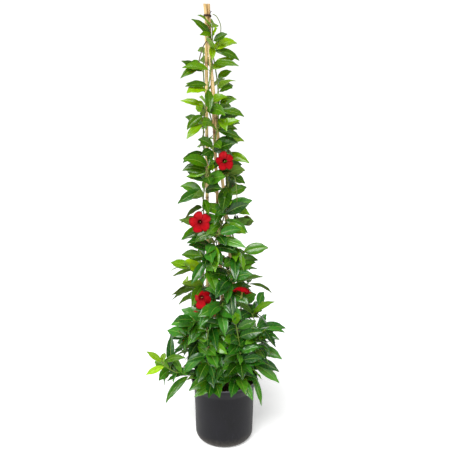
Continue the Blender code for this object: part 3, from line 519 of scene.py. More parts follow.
def rod(points, radii, sides, end_point=False):
    """Closed round rod through the points; the last point may draw it to a tip."""
    verts = []
    place = []
    count = len(points)
    ways = []
    for i in range(count):
        ways.append((points[min(i + 1, count - 1)] - points[max(i - 1, 0)]).normalized())
    side = ways[0].orthogonal().normalized()
    rings = count - 1 if end_point else count
    for i in range(rings):
        side = (side - ways[i] * side.dot(ways[i])).normalized()
        other = ways[i].cross(side)
        for k in range(sides):
            a = 2 * math.pi * k / sides
            spoke = side * math.cos(a) + other * math.sin(a)
            verts.append(points[i] + spoke * radii[i])
            place.append((i / (count - 1), k / sides, 0))
    faces = ring_faces(rings, sides)
    faces.append(tuple(range(sides - 1, -1, -1)))
    last = (rings - 1) * sides
    if end_point:
        verts.append(points[-1].copy())
        place.append((1, 0, 0))
        faces += [(last + k, last + (k + 1) % sides, len(verts) - 1) for k in range(sides)]
    else:
        faces.append(tuple(range(last, last + sides)))
    return verts, faces, place


def bundle_reach(a):
    """Distance from the bundle's middle to a wire drawn tight round it, at an angle."""
    middle = Vector(TIE_XY)
    spots = [cane_place(cane, TIE_Z) - middle for cane in CANES]
    reach = 1.0
    for j in range(-14, 15):
        b = a + math.radians(6 * j)
        way = Vector((math.cos(b), math.sin(b)))
        support = max(spot.dot(way) for spot in spots) + CANE_R_TOP + 0.0006
        reach = min(reach, support / math.cos(b - a))
    return reach * 1.02


def winding():
    points = []
    steps = 40
    for k in range(TIE_TURNS * steps + 1):
        a = 2 * math.pi * k / steps - 0.9
        reach = bundle_reach(a) + WIRE_R * 0.9
        rise = (k / (TIE_TURNS * steps) - 0.5) * 0.0068
        points.append(Vector((TIE_XY[0] + reach * math.cos(a),
                              TIE_XY[1] + reach * math.sin(a), TIE_Z + rise)))
    return points


def twisted_end(turn, splay):
    """One of the two wire ends: wound round its fellow, then bent away."""
    root = Vector((TIE_XY[0] + 0.0085, -0.0078, TIE_Z))
    points = [root + Vector((-0.0012, 0.0012, 0.0))]
    for k in range(1, 26):
        a = turn + 0.62 * k
        step = Vector((0.00012, -0.00024, 0.00044)) * k
        points.append(root + step + Vector((math.cos(a), math.sin(a), 0)) * 0.0007)
    points.append(points[-1] + splay * 0.5)
    points.append(points[-1] + splay * 0.5)
    return points


# Plastic-coated tie wire: dark brown, half gloss, a little dusty in the turns.
coated = new_finish("plastic_coated_wire")
coord = add_node(coated, "TexCoord").outputs["Object"]
speck = add_node(coated, "TexNoise", {"Scale": 400.0, "Detail": 4.0}, {"Vector": coord})
coat = add_node(coated, "ValToRGB", links={"Fac": speck},
                ramp=[(0.35, "2e1a10"), (0.62, "4a2d1c"), (0.80, "6a4a34")])
dress(coated, {"Roughness": 0.45}, {"Base Color": coat})

wire_form = Shape()
wound = winding()
wire_form.add(*rod(wound, [WIRE_R] * len(wound), 10))
for turn, splay in ((0.0, Vector((-0.001, -0.003, 0.004))),
                    (math.pi, Vector((0.004, -0.001, 0.001)))):
    end = twisted_end(turn, splay)
    wire_form.add(*rod(end, [WIRE_R * 0.8] * len(end), 8))
wire_piece = wire_form.to_piece("tie_wire", coated, 50)
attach(wire_piece, "root")
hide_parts("cane_tie")


# Vines and low shoots
# Three vines wound to the left round the canes and seven low shoots round the pot. Each
# is a thin woody stem, green at its tip, with leathery leaves in opposite pairs on short
# stalks. The vines also carry side shoots, closed buds and the green tubes of the blooms.

# Vines: name, foot in the soil, angle where the winding starts, turns, height of the tip
VINES = (
    ("vine_left", (-0.030, -0.012), math.radians(150), 1.55, 1.478),
    ("vine_front", (0.008, -0.034), math.radians(272), 1.45, 1.440),
    ("vine_right", (0.026, 0.022), math.radians(28), 1.50, 1.395),
)

# Low shoots: name, corners of the route in mm, first leaf, leaf spacing, leaf length
LOW_SHOOTS = (
    ("shoot_low_left", ((-40, -46, 150), (-42, -48, 228), (-86, -56, 272), (-128, -60, 276),
                        (-161, -62, 282), (-195, -63, 300), (-222, -62, 326)),
     0.46, 0.060, 0.100),
    ("shoot_low_right", ((42, -52, 150), (44, -54, 228), (84, -60, 290), (106, -62, 350),
                         (112, -62, 410), (110, -60, 468), (97, -56, 508)),
     0.42, 0.060, 0.100),
    ("shoot_front_left", ((-16, -68, 150), (-18, -70, 228), (-36, -96, 272),
                          (-52, -116, 336), (-58, -120, 404), (-54, -112, 470)),
     0.46, 0.046, 0.108),
    ("shoot_front_right", ((20, -70, 150), (22, -72, 228), (42, -98, 280),
                           (54, -116, 346), (52, -122, 420), (40, -116, 492)),
     0.44, 0.046, 0.108),
    ("shoot_back_left", ((-44, 40, 150), (-46, 42, 228), (-84, 78, 270), (-112, 104, 300),
                         (-128, 118, 340)), 0.46, 0.044, 0.108),
    ("shoot_back_right", ((46, 44, 150), (48, 46, 228), (86, 80, 272), (114, 104, 306),
                          (130, 114, 350)), 0.46, 0.044, 0.108),
    ("shoot_back", ((-22, 88, 150), (-23, 90, 228), (-26, 122, 270), (-24, 150, 300),
                    (-24, 166, 346)), 0.48, 0.044, 0.108),
)

# Leaves with a place of their own: share of the shoot's length where the leaf grows,
# its tip in mm, and its width in mm
AIMED = {
    "shoot_low_left": (
        (0.99, (-273, -80, 376), 21), (0.985, (-228, -50, 412), 19),
        (0.98, (-163, -90, 386), 23), (0.86, (-189, -22, 420), 28),
        (0.86, (-228, -112, 280), 33), (0.93, (-280, -62, 276), 22),
        (0.68, (-62, -130, 388), 33), (0.70, (-196, -30, 346), 24),
        (0.60, (-205, -125, 200), 27),
    ),
    "shoot_low_right": (
        (0.99, (175, -76, 560), 20), (0.985, (30, -84, 564), 20), (0.84, (216, -68, 458), 32),
        (0.82, (192, -98, 428), 26), (0.80, (44, -118, 470), 28), (0.68, (202, -96, 354), 33),
        (0.66, (46, -128, 402), 32), (0.52, (192, -108, 312), 32), (0.50, (196, -84, 256), 31),
        (0.44, (130, -128, 190), 20),
    ),
    "shoot_front_left": (
        (0.80, (-22, -196, 372), 36), (0.66, (-88, -196, 318), 36), (0.60, (-34, -200, 300), 36),
        (0.46, (-52, -188, 256), 36), (0.44, (-122, -150, 262), 34), (0.40, (-8, -180, 262), 36),
        (0.36, (-104, -128, 226), 32),
    ),
    "shoot_front_right": (
        (0.99, (36, -168, 560), 28), (0.80, (14, -200, 420), 36), (0.64, (62, -200, 330), 36),
        (0.60, (10, -204, 344), 36), (0.46, (72, -184, 268), 36), (0.42, (98, -168, 236), 32),
        (0.40, (34, -186, 256), 36), (0.44, (118, -140, 300), 32),
    ),
}

# Leaves of the vines with a place of their own: height of the root, tip, width, in mm
AIMED_ON_VINES = (
    (1424, (-104, -34, 1488), 22), (1420, (19, -30, 1438), 24), (1392, (50, -10, 1361), 24),
    (1350, (48, -44, 1344), 22), (1325, (-138, -20, 1361), 23), (1345, (-140, -44, 1306), 24),
    (1284, (-125, -50, 1281), 24), (1275, (-46, -76, 1202), 27), (1215, (-145, 0, 1234), 24),
    (1302, (26, 20, 1329), 24), (1262, (28, -46, 1276), 25), (1226, (42, -20, 1240), 25),
    (1200, (67, -20, 1183), 26), (1190, (-122, -34, 1142), 25), (1160, (-122, -56, 1114), 26),
    (1180, (9, -62, 1140), 25), (1138, (54, -20, 1114), 25), (1062, (-138, -30, 1033), 26),
    (1052, (86, -10, 1028), 28), (985, (-46, -98, 973), 38), (985, (72, 4, 957), 30),
    (1000, (-121, -24, 986), 27), (940, (-156, -50, 898), 32), (940, (-6, -104, 878), 34),
    (890, (88, -20, 853), 30), (840, (80, -54, 797), 28), (800, (-146, -50, 773), 30),
    (775, (74, -80, 754), 30), (760, (-30, -118, 680), 34), (720, (30, -112, 650), 32),
    (700, (-112, -84, 625), 32), (680, (-20, -132, 600), 34), (610, (30, -140, 520), 32),
    (560, (-74, -150, 478), 34), (520, (74, -132, 440), 34), (500, (-112, -122, 430), 34),
    (470, (-30, -168, 430), 34), (430, (20, -160, 380), 34), (540, (4, -150, 462), 34),
    (500, (40, -150, 415), 34), (460, (84, -128, 385), 34), (440, (-6, -150, 352), 34),
    (400, (60, -140, 322), 34), (380, (-26, -150, 300), 34), (360, (-96, -118, 300), 34),
    (350, (90, -120, 290), 34), (590, (-112, -80, 540), 32), (450, (-128, -78, 400), 34),
    (410, (-126, -70, 340), 34), (630, (10, -134, 575), 32), (340, (0, -140, 262), 34),
    (390, (122, -70, 330), 32),
)

# Leaves in front of the canes that are too many for the plain solids: height of the root,
# tip, width, in mm
FRONT_LEAVES = (
    (1433, (-21, -40, 1460), 17), (1440, (-77, -44, 1439), 17), (1411, (-37, -48, 1362), 20),
    (1395, (-30, -40, 1412), 16), (985, (-48, -84, 968), 34), (1030, (-36, -72, 1012), 20),
    (881, (-20, -90, 863), 20), (817, (74, -60, 797), 36), (790, (6, -96, 765), 32),
    (798, (-141, -70, 778), 22), (759, (-57, -104, 740), 30), (740, (-7, -112, 704), 32),
    (735, (40, -90, 707), 30), (725, (-67, -110, 693), 30), (915, (10, -84, 893), 30),
    (1100, (-10, -70, 1086), 28), (1075, (-72, -70, 1060), 26), (948, (-17, -72, 896), 24),
    (907, (-50, -78, 867), 24), (883, (-33, -88, 835), 26), (1076, (-52, -70, 1035), 22),
    (951, (16, -62, 894), 26), (832, (-60, -92, 798), 28), (1180, (-58, -58, 1144), 20),
    (1251, (-36, -56, 1214), 19),
)

# Buds: tip in mm
BUDS = ((-31, -118, 528), (-104, -104, 536), (46, 92, 700), (-88, 70, 930))

# A leafless tip that loops by the tie: corners in mm
LOOP_SHOOT = ((-19, -20, 1411), (-10, -22, 1462), (-22, -23, 1494), (-36, -24, 1503))

# A woody shoot that crosses in front of the canes near the top, and a green one that
# hangs to the right of them: corners in mm
CROSSING_SHOOT = ((-46, -15, 1428), (-57, -18, 1420), (-68, -17, 1402), (-77, -12, 1376),
                  (-83, -6, 1352))
HANGING_SHOOT = ((34, -26, 985), (41, -32, 950), (43, -33, 905), (36, -28, 868))

# Each bloom: name, middle of its face, way it faces, spin, radius, droop of its petals,
# and how much further the petals that don't hang down bend back
BLOOMS = (
    ("bloom_upper", (0.002, -0.070, 1.045), (0.05, -1.00, 0.16), 0.63, 0.0320, 0.05, 0.10),
    ("bloom_middle", (-0.080, -0.078, 0.842), (-0.04, -1.00, 0.20), 0.61, 0.0370, 0.00, 0.05),
    ("bloom_low_left", (-0.078, -0.100, 0.583), (-0.28, -0.90, 0.22), 0.31, 0.0380, 0.02, 0.85),
    ("bloom_low_right", (0.064, -0.092, 0.620), (0.16, 0.40, 0.90), 0.31, 0.0400, 0.44, 0.0),
)
THROAT_DEPTH = 0.021
TUBE_R = 0.0034


class Leaf:
    """Midrib path of one leaf, from its root in the stem to its tip."""

    def __init__(self, root, start, length, width, bend, light, hook):
        self.root = root
        self.length = length
        self.width = width
        side = start.cross(Vector((0, 0, 1)))
        if side.length < 0.05:
            side = Vector((1, 0, 0))
        side.normalize()
        rise = side.cross(start).normalized()
        spot = root.copy()
        self.spots = [spot.copy()]
        self.ways = [start.copy()]
        steps = 12
        for k in range(steps):
            t = (k + 0.5) / steps
            a = -bend * t ** 1.2
            sway = hook * max(0.0, t - 0.45) ** 2
            way = start * math.cos(a) + rise * math.sin(a) + side * sway
            way.normalize()
            spot = spot + way * (length / steps)
            self.spots.append(spot.copy())
            self.ways.append(way)
        self.side = side
        mid = self.ways[7]
        flat = (side - mid * side.dot(mid)).normalized()
        self.roll = math.atan2(-light.dot(flat), light.dot(flat.cross(mid)))

    def at(self, t):
        """Place, side and upward directions at a share t of the leaf's length."""
        k = min(t, 0.9999) * (len(self.spots) - 1)
        i = int(k)
        spot = self.spots[i].lerp(self.spots[i + 1], k - i)
        way = self.ways[i].lerp(self.ways[min(i + 1, len(self.ways) - 1)], k - i).normalized()
        side = (self.side - way * self.side.dot(way)).normalized()
        up = side.cross(way)
        c = math.cos(self.roll)
        s = math.sin(self.roll)
        return spot, side * c + up * s, up * c - side * s


def aimed_leaf(root, tip, width, arch, draws):
    """A leaf that arches from its root to a given place for its tip."""
    chord = tip - root
    level = Vector((chord.x, chord.y, 0)).normalized()
    a = math.atan2(chord.z, Vector((chord.x, chord.y)).length) + 0.455 * arch
    start = level * math.cos(a) + Vector((0, 0, math.sin(a)))
    length = chord.length * (1 + arch * arch / 28)
    light = Vector((draws.uniform(-0.3, 0.3), -0.9, 0.5 + draws.uniform(-0.3, 0.2)))
    return Leaf(root, start, length, width, arch, light, 0.0)


def tripod_middle(z):
    spots = [cane_place(c, z) for c in CANES]
    return (spots[0] + spots[1] + spots[2]) / 3


def tripod_reach(z, stem_r):
    """Radius of a stem wound round all three canes, just clear of the outermost."""
    middle = tripod_middle(z)
    far = max((cane_place(c, z) - middle).length for c in CANES)
    return (far + cane_radius(z) * 1.12 + stem_r + 0.0012) * 1.045


def vine_radius(t):
    return 0.0030 - 0.0010 * t


def vine_route(crown, phase, turns, z_top):
    """Points of a vine from its root in the soil to its tip, turning left as it climbs."""
    points = [Vector((crown[0], crown[1], 0.150)), Vector((crown[0], crown[1], 0.232))]
    z_low = 0.300
    steps = 26
    for k in range(steps + 1):
        t = k / steps
        z = z_low + (z_top - z_low) * t
        a = phase + 2 * math.pi * turns * t
        middle = tripod_middle(z)
        reach = tripod_reach(z, vine_radius(t))
        if k == 0:
            reach *= 0.72
        points.append(Vector((middle.x + reach * math.cos(a),
                              middle.y + reach * math.sin(a), z)))
    return points


def smooth_route(corners, count):
    """Even points along a curve through the corners."""
    out = []
    n = len(corners) - 1
    for k in range(count + 1):
        u = k / count * n
        i = min(int(u), n - 1)
        f = u - i
        p0 = corners[max(i - 1, 0)]
        p1 = corners[i]
        p2 = corners[i + 1]
        p3 = corners[min(i + 2, n)]
        out.append(0.5 * ((2 * p1) + (p2 - p0) * f + (2 * p0 - 5 * p1 + 4 * p2 - p3) * f * f
                          + (3 * p1 - p0 - 3 * p2 + p3) * f * f * f))
    return out


def along(points, share):
    """Point and direction at a share of a route's length."""
    spans = [(b - a).length for a, b in zip(points, points[1:])]
    left = share * sum(spans)
    for i, span in enumerate(spans):
        if left <= span or i == len(spans) - 1:
            spot = points[i].lerp(points[i + 1], min(1.0, left / span))
            return spot, (points[i + 1] - points[i]).normalized()
        left -= span


def route_length(points):
    return sum((b - a).length for a, b in zip(points, points[1:]))


# One stem of a leafy node: its route, its thickness and where its leaves go
Shoot = namedtuple("Shoot", "points r_low r_top first spacing size rise")


def axil(shoot, share, is_vine):
    """Place at a share of a shoot, its direction there, and the level way outward."""
    spot, way = along(shoot.points, share)
    middle = tripod_middle(spot.z) if is_vine else shoot.points[0]
    return spot, way, Vector((spot.x - middle.x, spot.y - middle.y, 0)).normalized()


def turned(way, a):
    """A level direction turned round the upright."""
    c, s = math.cos(a), math.sin(a)
    return Vector((way.x * c - way.y * s, way.x * s + way.y * c, 0))


def side_shoot(origin, way, length, lift):
    """Route of a side shoot that leaves the stem outward and turns up."""
    out = Vector((way.x, way.y, 0)).normalized()
    b = origin + out * length * 0.45 + Vector((0, 0, length * lift * 0.20))
    c = origin + out * length * 0.80 + Vector((0, 0, length * lift * 0.55))
    return smooth_route([origin, b, c], 3)


def collect_shoots():
    """Every leafy node's shoots, in the order in which their leaves are placed."""
    found = {}
    for n, (name, crown, phase, turns, z_top) in enumerate(VINES):
        route = vine_route(crown, phase, turns, z_top)
        found[name] = [Shoot(route, 0.0030, 0.0020, 0.13, 0.062, 0.116, 0.45)]
        draws = random.Random("side shoots " + name)
        for k in range(7):
            spot, _, out = axil(found[name][0], 0.12 + 0.064 * k + 0.012 * n, True)
            out = turned(out, draws.uniform(-0.5, 0.5))
            length = (0.120 - 0.010 * k) * draws.uniform(0.85, 1.15)
            points = side_shoot(spot, out, length, draws.uniform(0.6, 1.2))
            found[name].append(Shoot(points, 0.0021, 0.0017, 0.55, 0.050, 0.108, 0.12))
    for name, corners, first, spacing, size in LOW_SHOOTS:
        spots = [Vector(c) * 0.001 for c in corners]
        route = [spots[0]] + smooth_route(spots[1:], 10)
        found[name] = [Shoot(route, 0.0025, 0.0018, first, spacing, size, 0.35)]
    return found


def vine_at(height, near):
    """The vine and the point on it at a height, closest to a given place."""
    found = []
    for vine in VINES:
        points = shoots[vine[0]][0].points
        for a, b in zip(points, points[1:]):
            if a.z <= height < b.z:
                found.append((vine[0], a.lerp(b, (height - a.z) / (b.z - a.z))))
    return min(found, key=lambda pair: (pair[1] - near).length)


ROOT_JITTER = 0.0004               # most that a leaf's root is drawn off its stem's line
AIMED_TRIES = 16
PAIR_TRIES = 14
TIP_MATCH = 0.0005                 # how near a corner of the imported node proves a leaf


def jitter(draws, most):
    return Vector([draws.uniform(-most, most) for _ in range(3)])


def draw_leaf(draws, spot, way, out, sign, odd, shoot, share, attempt):
    """One candidate leaf of an opposite pair."""
    loose = 0.15 + 0.10 * attempt
    spread = (1.75 if odd else 0.85) + draws.uniform(-loose, loose)
    level = turned(out, sign * spread).normalized()
    rise = shoot.rise + 0.3 * min(1.0, spot.z) - 0.2 + draws.uniform(-0.35, 0.35)
    rise += 0.06 * draws.uniform(-attempt, attempt)
    start = (level + Vector((0, 0, rise)) + way * 0.25).normalized()
    length = shoot.size * draws.uniform(0.86, 1.12) * (1 - 0.24 * share)
    length *= 1 - 0.02 * attempt
    width = length * draws.uniform(0.34, 0.43)
    bend = draws.uniform(0.4, 1.25)
    light = out * draws.uniform(0.5, 1.1) + Vector((0, 0, draws.uniform(0.3, 0.8)))
    light += level.cross(Vector((0, 0, 1))) * draws.uniform(-0.3, 0.3)
    hook = draws.uniform(-1.6, 1.6)
    return Leaf(spot, start, length, width, bend, light, hook)


def tips_of(node):
    """Search tree over the corners of a packed leafy node, in the pot's own frame."""
    mesh = frame["nodes"][node].data
    tree = KDTree(len(mesh.vertices))
    for vert in mesh.vertices:
        tree.insert(vert.co - pot_axis, vert.index)
    tree.balance()
    return tree


def standing(owner, drawn):
    """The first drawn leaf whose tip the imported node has, and how far it was shifted."""
    for leaf in drawn:
        spot, _, far = cad_tips[owner].find(leaf.spots[-1])
        if far < TIP_MATCH:
            return leaf, spot - leaf.spots[-1]
    return None


def aimed_draws(owner, root, target, width):
    draws = random.Random("%s %.3f %.3f %.3f" % (owner, target.x, target.y, target.z))
    root = root + jitter(draws, ROOT_JITTER)
    for attempt in range(AIMED_TRIES):
        nudge = jitter(draws, 0.0022 * attempt)
        yield aimed_leaf(root, target + nudge, width, draws.uniform(0.35, 0.9), draws)


def pair_draws(owner, number, index, sign, spot, way, out, shoot, share):
    draws = random.Random("%s %d %d %d" % (owner, number, index, sign))
    root = spot + jitter(draws, ROOT_JITTER)
    for attempt in range(PAIR_TRIES):
        yield draw_leaf(draws, root, way, out, sign, index % 2, shoot, share, attempt)


def placed_leaves(owner):
    """The node's leaves that have a place of their own: leaf, shift, share of the shoot."""
    found = []
    for share, tip, width in AIMED.get(owner, ()):
        root = along(shoots[owner][0].points, share)[0]
        hit = standing(owner, aimed_draws(owner, root, Vector(tip) * 0.001, width * 0.001))
        if hit:
            found.append((*hit, share))
    for height_mm, tip, width in AIMED_ON_VINES:
        target = Vector(tip) * 0.001
        vine, root = vine_at(height_mm * 0.001, target)
        if vine == owner:
            hit = standing(owner, aimed_draws(owner, root, target, width * 0.001))
            if hit:
                found.append((*hit, height_mm * 0.001 / CANE_TOP_Z))
    return found


def paired_leaves(owner):
    """The node's leaves that grow in opposite pairs: leaf, shift, share of the shoot."""
    found = []
    for number, shoot in enumerate(shoots[owner]):
        is_vine = number == 0 and owner.startswith("vine")
        total = route_length(shoot.points)
        reach = shoot.first * total
        stop = total - (0.012 if is_vine else 0.002)
        steps = random.Random("pairs %s %d" % (owner, number))
        index = steps.randrange(2)
        while reach < stop:
            share = reach / total
            spot, way, out = axil(shoot, share, is_vine)
            for sign in (-1, 1):
                hit = standing(owner, pair_draws(owner, number, index, sign, spot, way,
                                                 out, shoot, share))
                if hit:
                    found.append((*hit, share))
            index += 1
            reach += shoot.spacing * steps.uniform(0.88, 1.12)
    return found


VINE_AXILS = (0.11, 0.034)         # where axils that may sprout begin, and their spacing
SHOOT_AXILS = (0.45, 0.030)
SPRIG_TRIES = 7
SPRIG_ROOM = 0.0045                # least distance from a sprig's leaf to its neighbours
FRONT_CHANCE = 0.35                # added at the front of the middle, where growth is thick
BOX_MARGIN = 0.004                 # how far a sprig's leaf may pass its node's box


def sprig_draws(owner, number, index, sign, shoot, share, spot, way, out):
    """Smaller leaves that a bud in a leaf's axil may have put out."""
    draws = random.Random("sprig %s %d %d %d" % (owner, number, index, sign))
    root = spot + jitter(draws, ROOT_JITTER)
    for attempt in range(SPRIG_TRIES):
        yield draw_leaf(draws, root, way, out, sign, (index + attempt) % 2, shoot, share,
                        attempt)


class Crowd:
    """Places that leaves have taken, held in cells, so that new ones can keep clear."""

    CELL = 0.014

    def __init__(self):
        self.cells = {}

    def samples(self, leaf):
        out = []
        for t in (0.25, 0.4, 0.55, 0.7, 0.85, 1.0):
            spot, side = leaf.at(t)[:2]
            reach = leaf.width * (0.42 if t < 0.8 else 0.2)
            out += [spot, spot + side * reach, spot - side * reach]
        return out

    def key(self, spot):
        return tuple(int(math.floor(c / self.CELL)) for c in spot)

    def take(self, spot):
        self.cells.setdefault(self.key(spot), []).append(spot)

    def add(self, leaf):
        for spot in self.samples(leaf):
            self.take(spot)

    def room(self, leaf):
        """Distance from a leaf to its nearest neighbour, up to one cell."""
        best = self.CELL
        for spot in self.samples(leaf):
            i, j, k = self.key(spot)
            for di in (-1, 0, 1):
                for dj in (-1, 0, 1):
                    for dk in (-1, 0, 1):
                        for other in self.cells.get((i + di, j + dj, k + dk), ()):
                            best = min(best, (other - spot).length)
        return best


def fits(leaf, owner):
    """True where a sprig's leaf stays over the pot's mouth and inside its node's box."""
    low, high = node_boxes[owner]
    for t in (0.4, 0.7, 1.0):
        spot = leaf.at(t)[0]
        out = Vector((spot.x, spot.y)).length
        if spot.z < POT_H + 0.012 and out > RIM_R - 0.02:
            return False
        if spot.z < SOIL_MID_Z + 0.015:
            return False
        for c in range(3):
            if not low[c] - BOX_MARGIN < spot[c] < high[c] + BOX_MARGIN:
                return False
    return True


def thickness(z):
    """Chance that an axil has sprouted: nearly every low one, hardly any near the top."""
    return max(0.05, 0.92 - 2.4 * max(0.0, z - 0.42))


def front_leaves(owner):
    """The node's share of the leaves in front of the canes."""
    found = []
    for height_mm, tip, width in FRONT_LEAVES:
        target = Vector(tip) * 0.001
        vine, root = vine_at(height_mm * 0.001, target)
        if vine == owner:
            draws = random.Random("front %d" % height_mm)
            leaf = aimed_leaf(root, target, width * 0.001, draws.uniform(0.4, 0.9), draws)
            found.append((leaf, Vector((0, 0, 0)), height_mm * 0.001 / CANE_TOP_Z))
    return found


def sprigs_on(owner):
    """Leaves between the standing ones, each in the roomiest of its drawn places."""
    found = []
    for number, shoot in enumerate(shoots[owner]):
        is_vine = number == 0 and owner.startswith("vine")
        total = route_length(shoot.points)
        first, step = VINE_AXILS if is_vine else SHOOT_AXILS
        reach = first * total
        draws = random.Random("sprigs %s %d" % (owner, number))
        index = 0
        while reach < total - 0.012:
            share = reach / total
            spot, way, out = axil(shoot, share, is_vine)
            for sign in (-1, 1):
                best = None
                for leaf in sprig_draws(owner, number, index, sign, shoot, share,
                                        spot, way, out):
                    room = crowd.room(leaf)
                    if fits(leaf, owner) and (best is None or room > best[0]):
                        best = (room, leaf)
                chance = thickness(spot.z)
                if is_vine and out.y < -0.3 and 0.5 < spot.z < 1.2:
                    chance += FRONT_CHANCE
                if best and best[0] > SPRIG_ROOM and draws.random() < chance:
                    crowd.add(best[1])
                    found.append((best[1], Vector((0, 0, 0)), share))
            index += 1
            reach += step
    return found


BLADE_START = 0.085                # share of a leaf's length taken by its stalk
BLADE_FULLNESS = 1.10              # the living blade's width over the plain solid's
LEAF_THICK = 0.0006
LEAF_ROWS = 30
LEAF_COLUMNS = (-1.0, -0.80, -0.58, -0.34, -0.10, 0.0, 0.10, 0.34, 0.58, 0.80, 1.0)
VEIN_PAIRS = 8


def half_width(s):
    """Outline of the blade: widest below its middle, drawn out to a thin drip tip."""
    body = math.sin(math.pi * s ** 0.88) ** 0.80
    pinch = max(0.0, (s - 0.76) / 0.24)
    return body * (1 - 0.45 * pinch * (1 - pinch) * 2.2)


def blade_lift(s, v, half, fold, curl, wave, waves, phase):
    """Height of a blade's upper face over its plane, at shares along and across it."""
    across = abs(v)
    lift = half * (fold * across - curl * across ** 2.5)
    edge = across ** 2 * math.sin(math.pi * min(1.0, s * 1.1))
    lift += wave * edge * math.sin(2 * math.pi * waves * s + phase + v)
    vein = math.cos(2 * math.pi * VEIN_PAIRS * (s - 0.13 * across))
    quilt = 0.00050 * max(0.0, vein) ** 3 * (1 - across ** 4) * half / 0.018
    return lift - (quilt if across > 0.05 else 0.0005 * (1 - s))


def blade_faces(rows, tip):
    """Faces over and under a blade from its rows of corners, drawn together at its tip."""
    faces = []
    last_column = len(LEAF_COLUMNS) - 1
    for (top, under), (next_top, next_under) in zip(rows, rows[1:]):
        for c in range(last_column):
            faces.append((top[c], top[c + 1], next_top[c + 1], next_top[c]))
            faces.append((under[c + 1], under[c], next_under[c], next_under[c + 1]))
    top, under = rows[-1]
    for c in range(last_column):
        faces.append((top[c], top[c + 1], tip))
        faces.append((under[c + 1], under[c], tip))
    top, under = rows[0]
    faces.append(tuple(under + top[-2:0:-1]))
    return faces


def blade(leaf, shift, draws, youth):
    """Closed thin blade, folded along its midrib, quilted by its veins, wavy at the edge."""
    fold = draws.uniform(0.18, 0.48)
    bends = (fold, draws.uniform(0.05, 0.26), draws.uniform(0.0006, 0.0016),
             draws.uniform(2.0, 3.4), draws.uniform(0, 6))
    own = draws.random()
    verts = []
    place = []
    rows = []
    for r in range(LEAF_ROWS):
        s = 0.006 + 0.985 * (r / (LEAF_ROWS - 1))
        spot, side, up = leaf.at(BLADE_START + (1 - BLADE_START) * s)
        spot = spot + shift
        half = max(leaf.width / 2 * BLADE_FULLNESS * half_width(s), 0.0007)
        top = []
        low_side = []
        for v in LEAF_COLUMNS:
            across = abs(v)
            here = spot + side * v * half * (1 - 0.10 * fold * across)
            here += up * blade_lift(s, v, half, *bends)
            top.append(len(verts))
            verts.append(here)
            place.append((s, v, 0))
            if across < 1:
                keel = 0.0007 * (1 - s) if across < 0.05 else 0.0
                low_side.append(len(verts))
                verts.append(here - up * (LEAF_THICK * (1 - 0.4 * across) + keel))
                place.append((s, v, 1))
        rows.append((top, [top[0]] + low_side + [top[-1]]))
    tip = len(verts)
    verts.append(leaf.spots[-1] + shift)
    place.append((1, 0, 0))
    return verts, blade_faces(rows, tip), place, (youth, own, 0)


def stalk(leaf, shift):
    """The leaf's own short stalk, from inside the stem to the foot of the blade."""
    points = [leaf.at(BLADE_START * 1.25 * k / 5)[0] + shift for k in range(6)]
    return rod(points, [0.0013, 0.0012, 0.0011, 0.0010, 0.0009, 0.0006], 7)


PALE_PAIR_X = -0.140               # leaves left of this at these heights are pale ones
PALE_PAIR_Z = (0.54, 0.72)


def age_of(owner, leaf, share, draws):
    """How young a leaf is: 1 is the lime green of a new tip, 0 a dark old leaf."""
    z = leaf.root.z
    youth = 0.85 * max(0.0, min(1.0, (z - 0.58) / 0.76)) + draws.uniform(-0.36, 0.20)
    tip = leaf.spots[-1]
    if tip.x < PALE_PAIR_X and PALE_PAIR_Z[0] < tip.z < PALE_PAIR_Z[1]:
        return draws.uniform(0.85, 1.0)
    if owner in ("shoot_low_left", "shoot_low_right") and share > 0.92:
        youth = draws.uniform(0.75, 0.95)
    elif owner.startswith("shoot"):
        youth = 0.15 * share + draws.uniform(-0.25, 0.15)
    return max(0.0, min(1.0, youth))


def stem_facts(points, radii, sides, age, red, end_point=True, fresh=0.0):
    """A stem with its age at each corner, 1 woody and 0 green, its flush and its paleness."""
    verts, faces, place = rod(points, radii, sides, end_point)
    tint = [(age(p[0]), red(p[0]), fresh) for p in place]
    return verts, faces, place, tint


def knuckled(points, r_low, r_top, seed):
    """Radii of a stem that thins to its tip and is a little uneven."""
    count = len(points) - 1
    radii = []
    for k in range(count + 1):
        r = r_low + (r_top - r_low) * k / count
        radii.append(r * (1 + 0.07 * noise.noise(Vector((k * 0.7, seed, 0)))))
    radii[-1] = r_top * 0.5
    return radii


def bloom_frame(bloom):
    face = Vector(bloom[2]).normalized()
    side = face.cross(Vector((0, 0, 1))).normalized()
    up = side.cross(face)
    return Vector(bloom[1]), face, side, up


def bloom_owner(bloom):
    """The vine whose stem runs nearest below a bloom, and the point it grows from."""
    middle, face = bloom_frame(bloom)[:2]
    target = middle - face * 0.04 - Vector((0, 0, 0.035))
    found = []
    for vine in VINES:
        for k in range(200):
            share = 0.1 + 0.88 * k / 199
            found.append((vine[0], along(shoots[vine[0]][0].points, share)[0]))
    return min(found, key=lambda pair: (pair[1] - target).length)


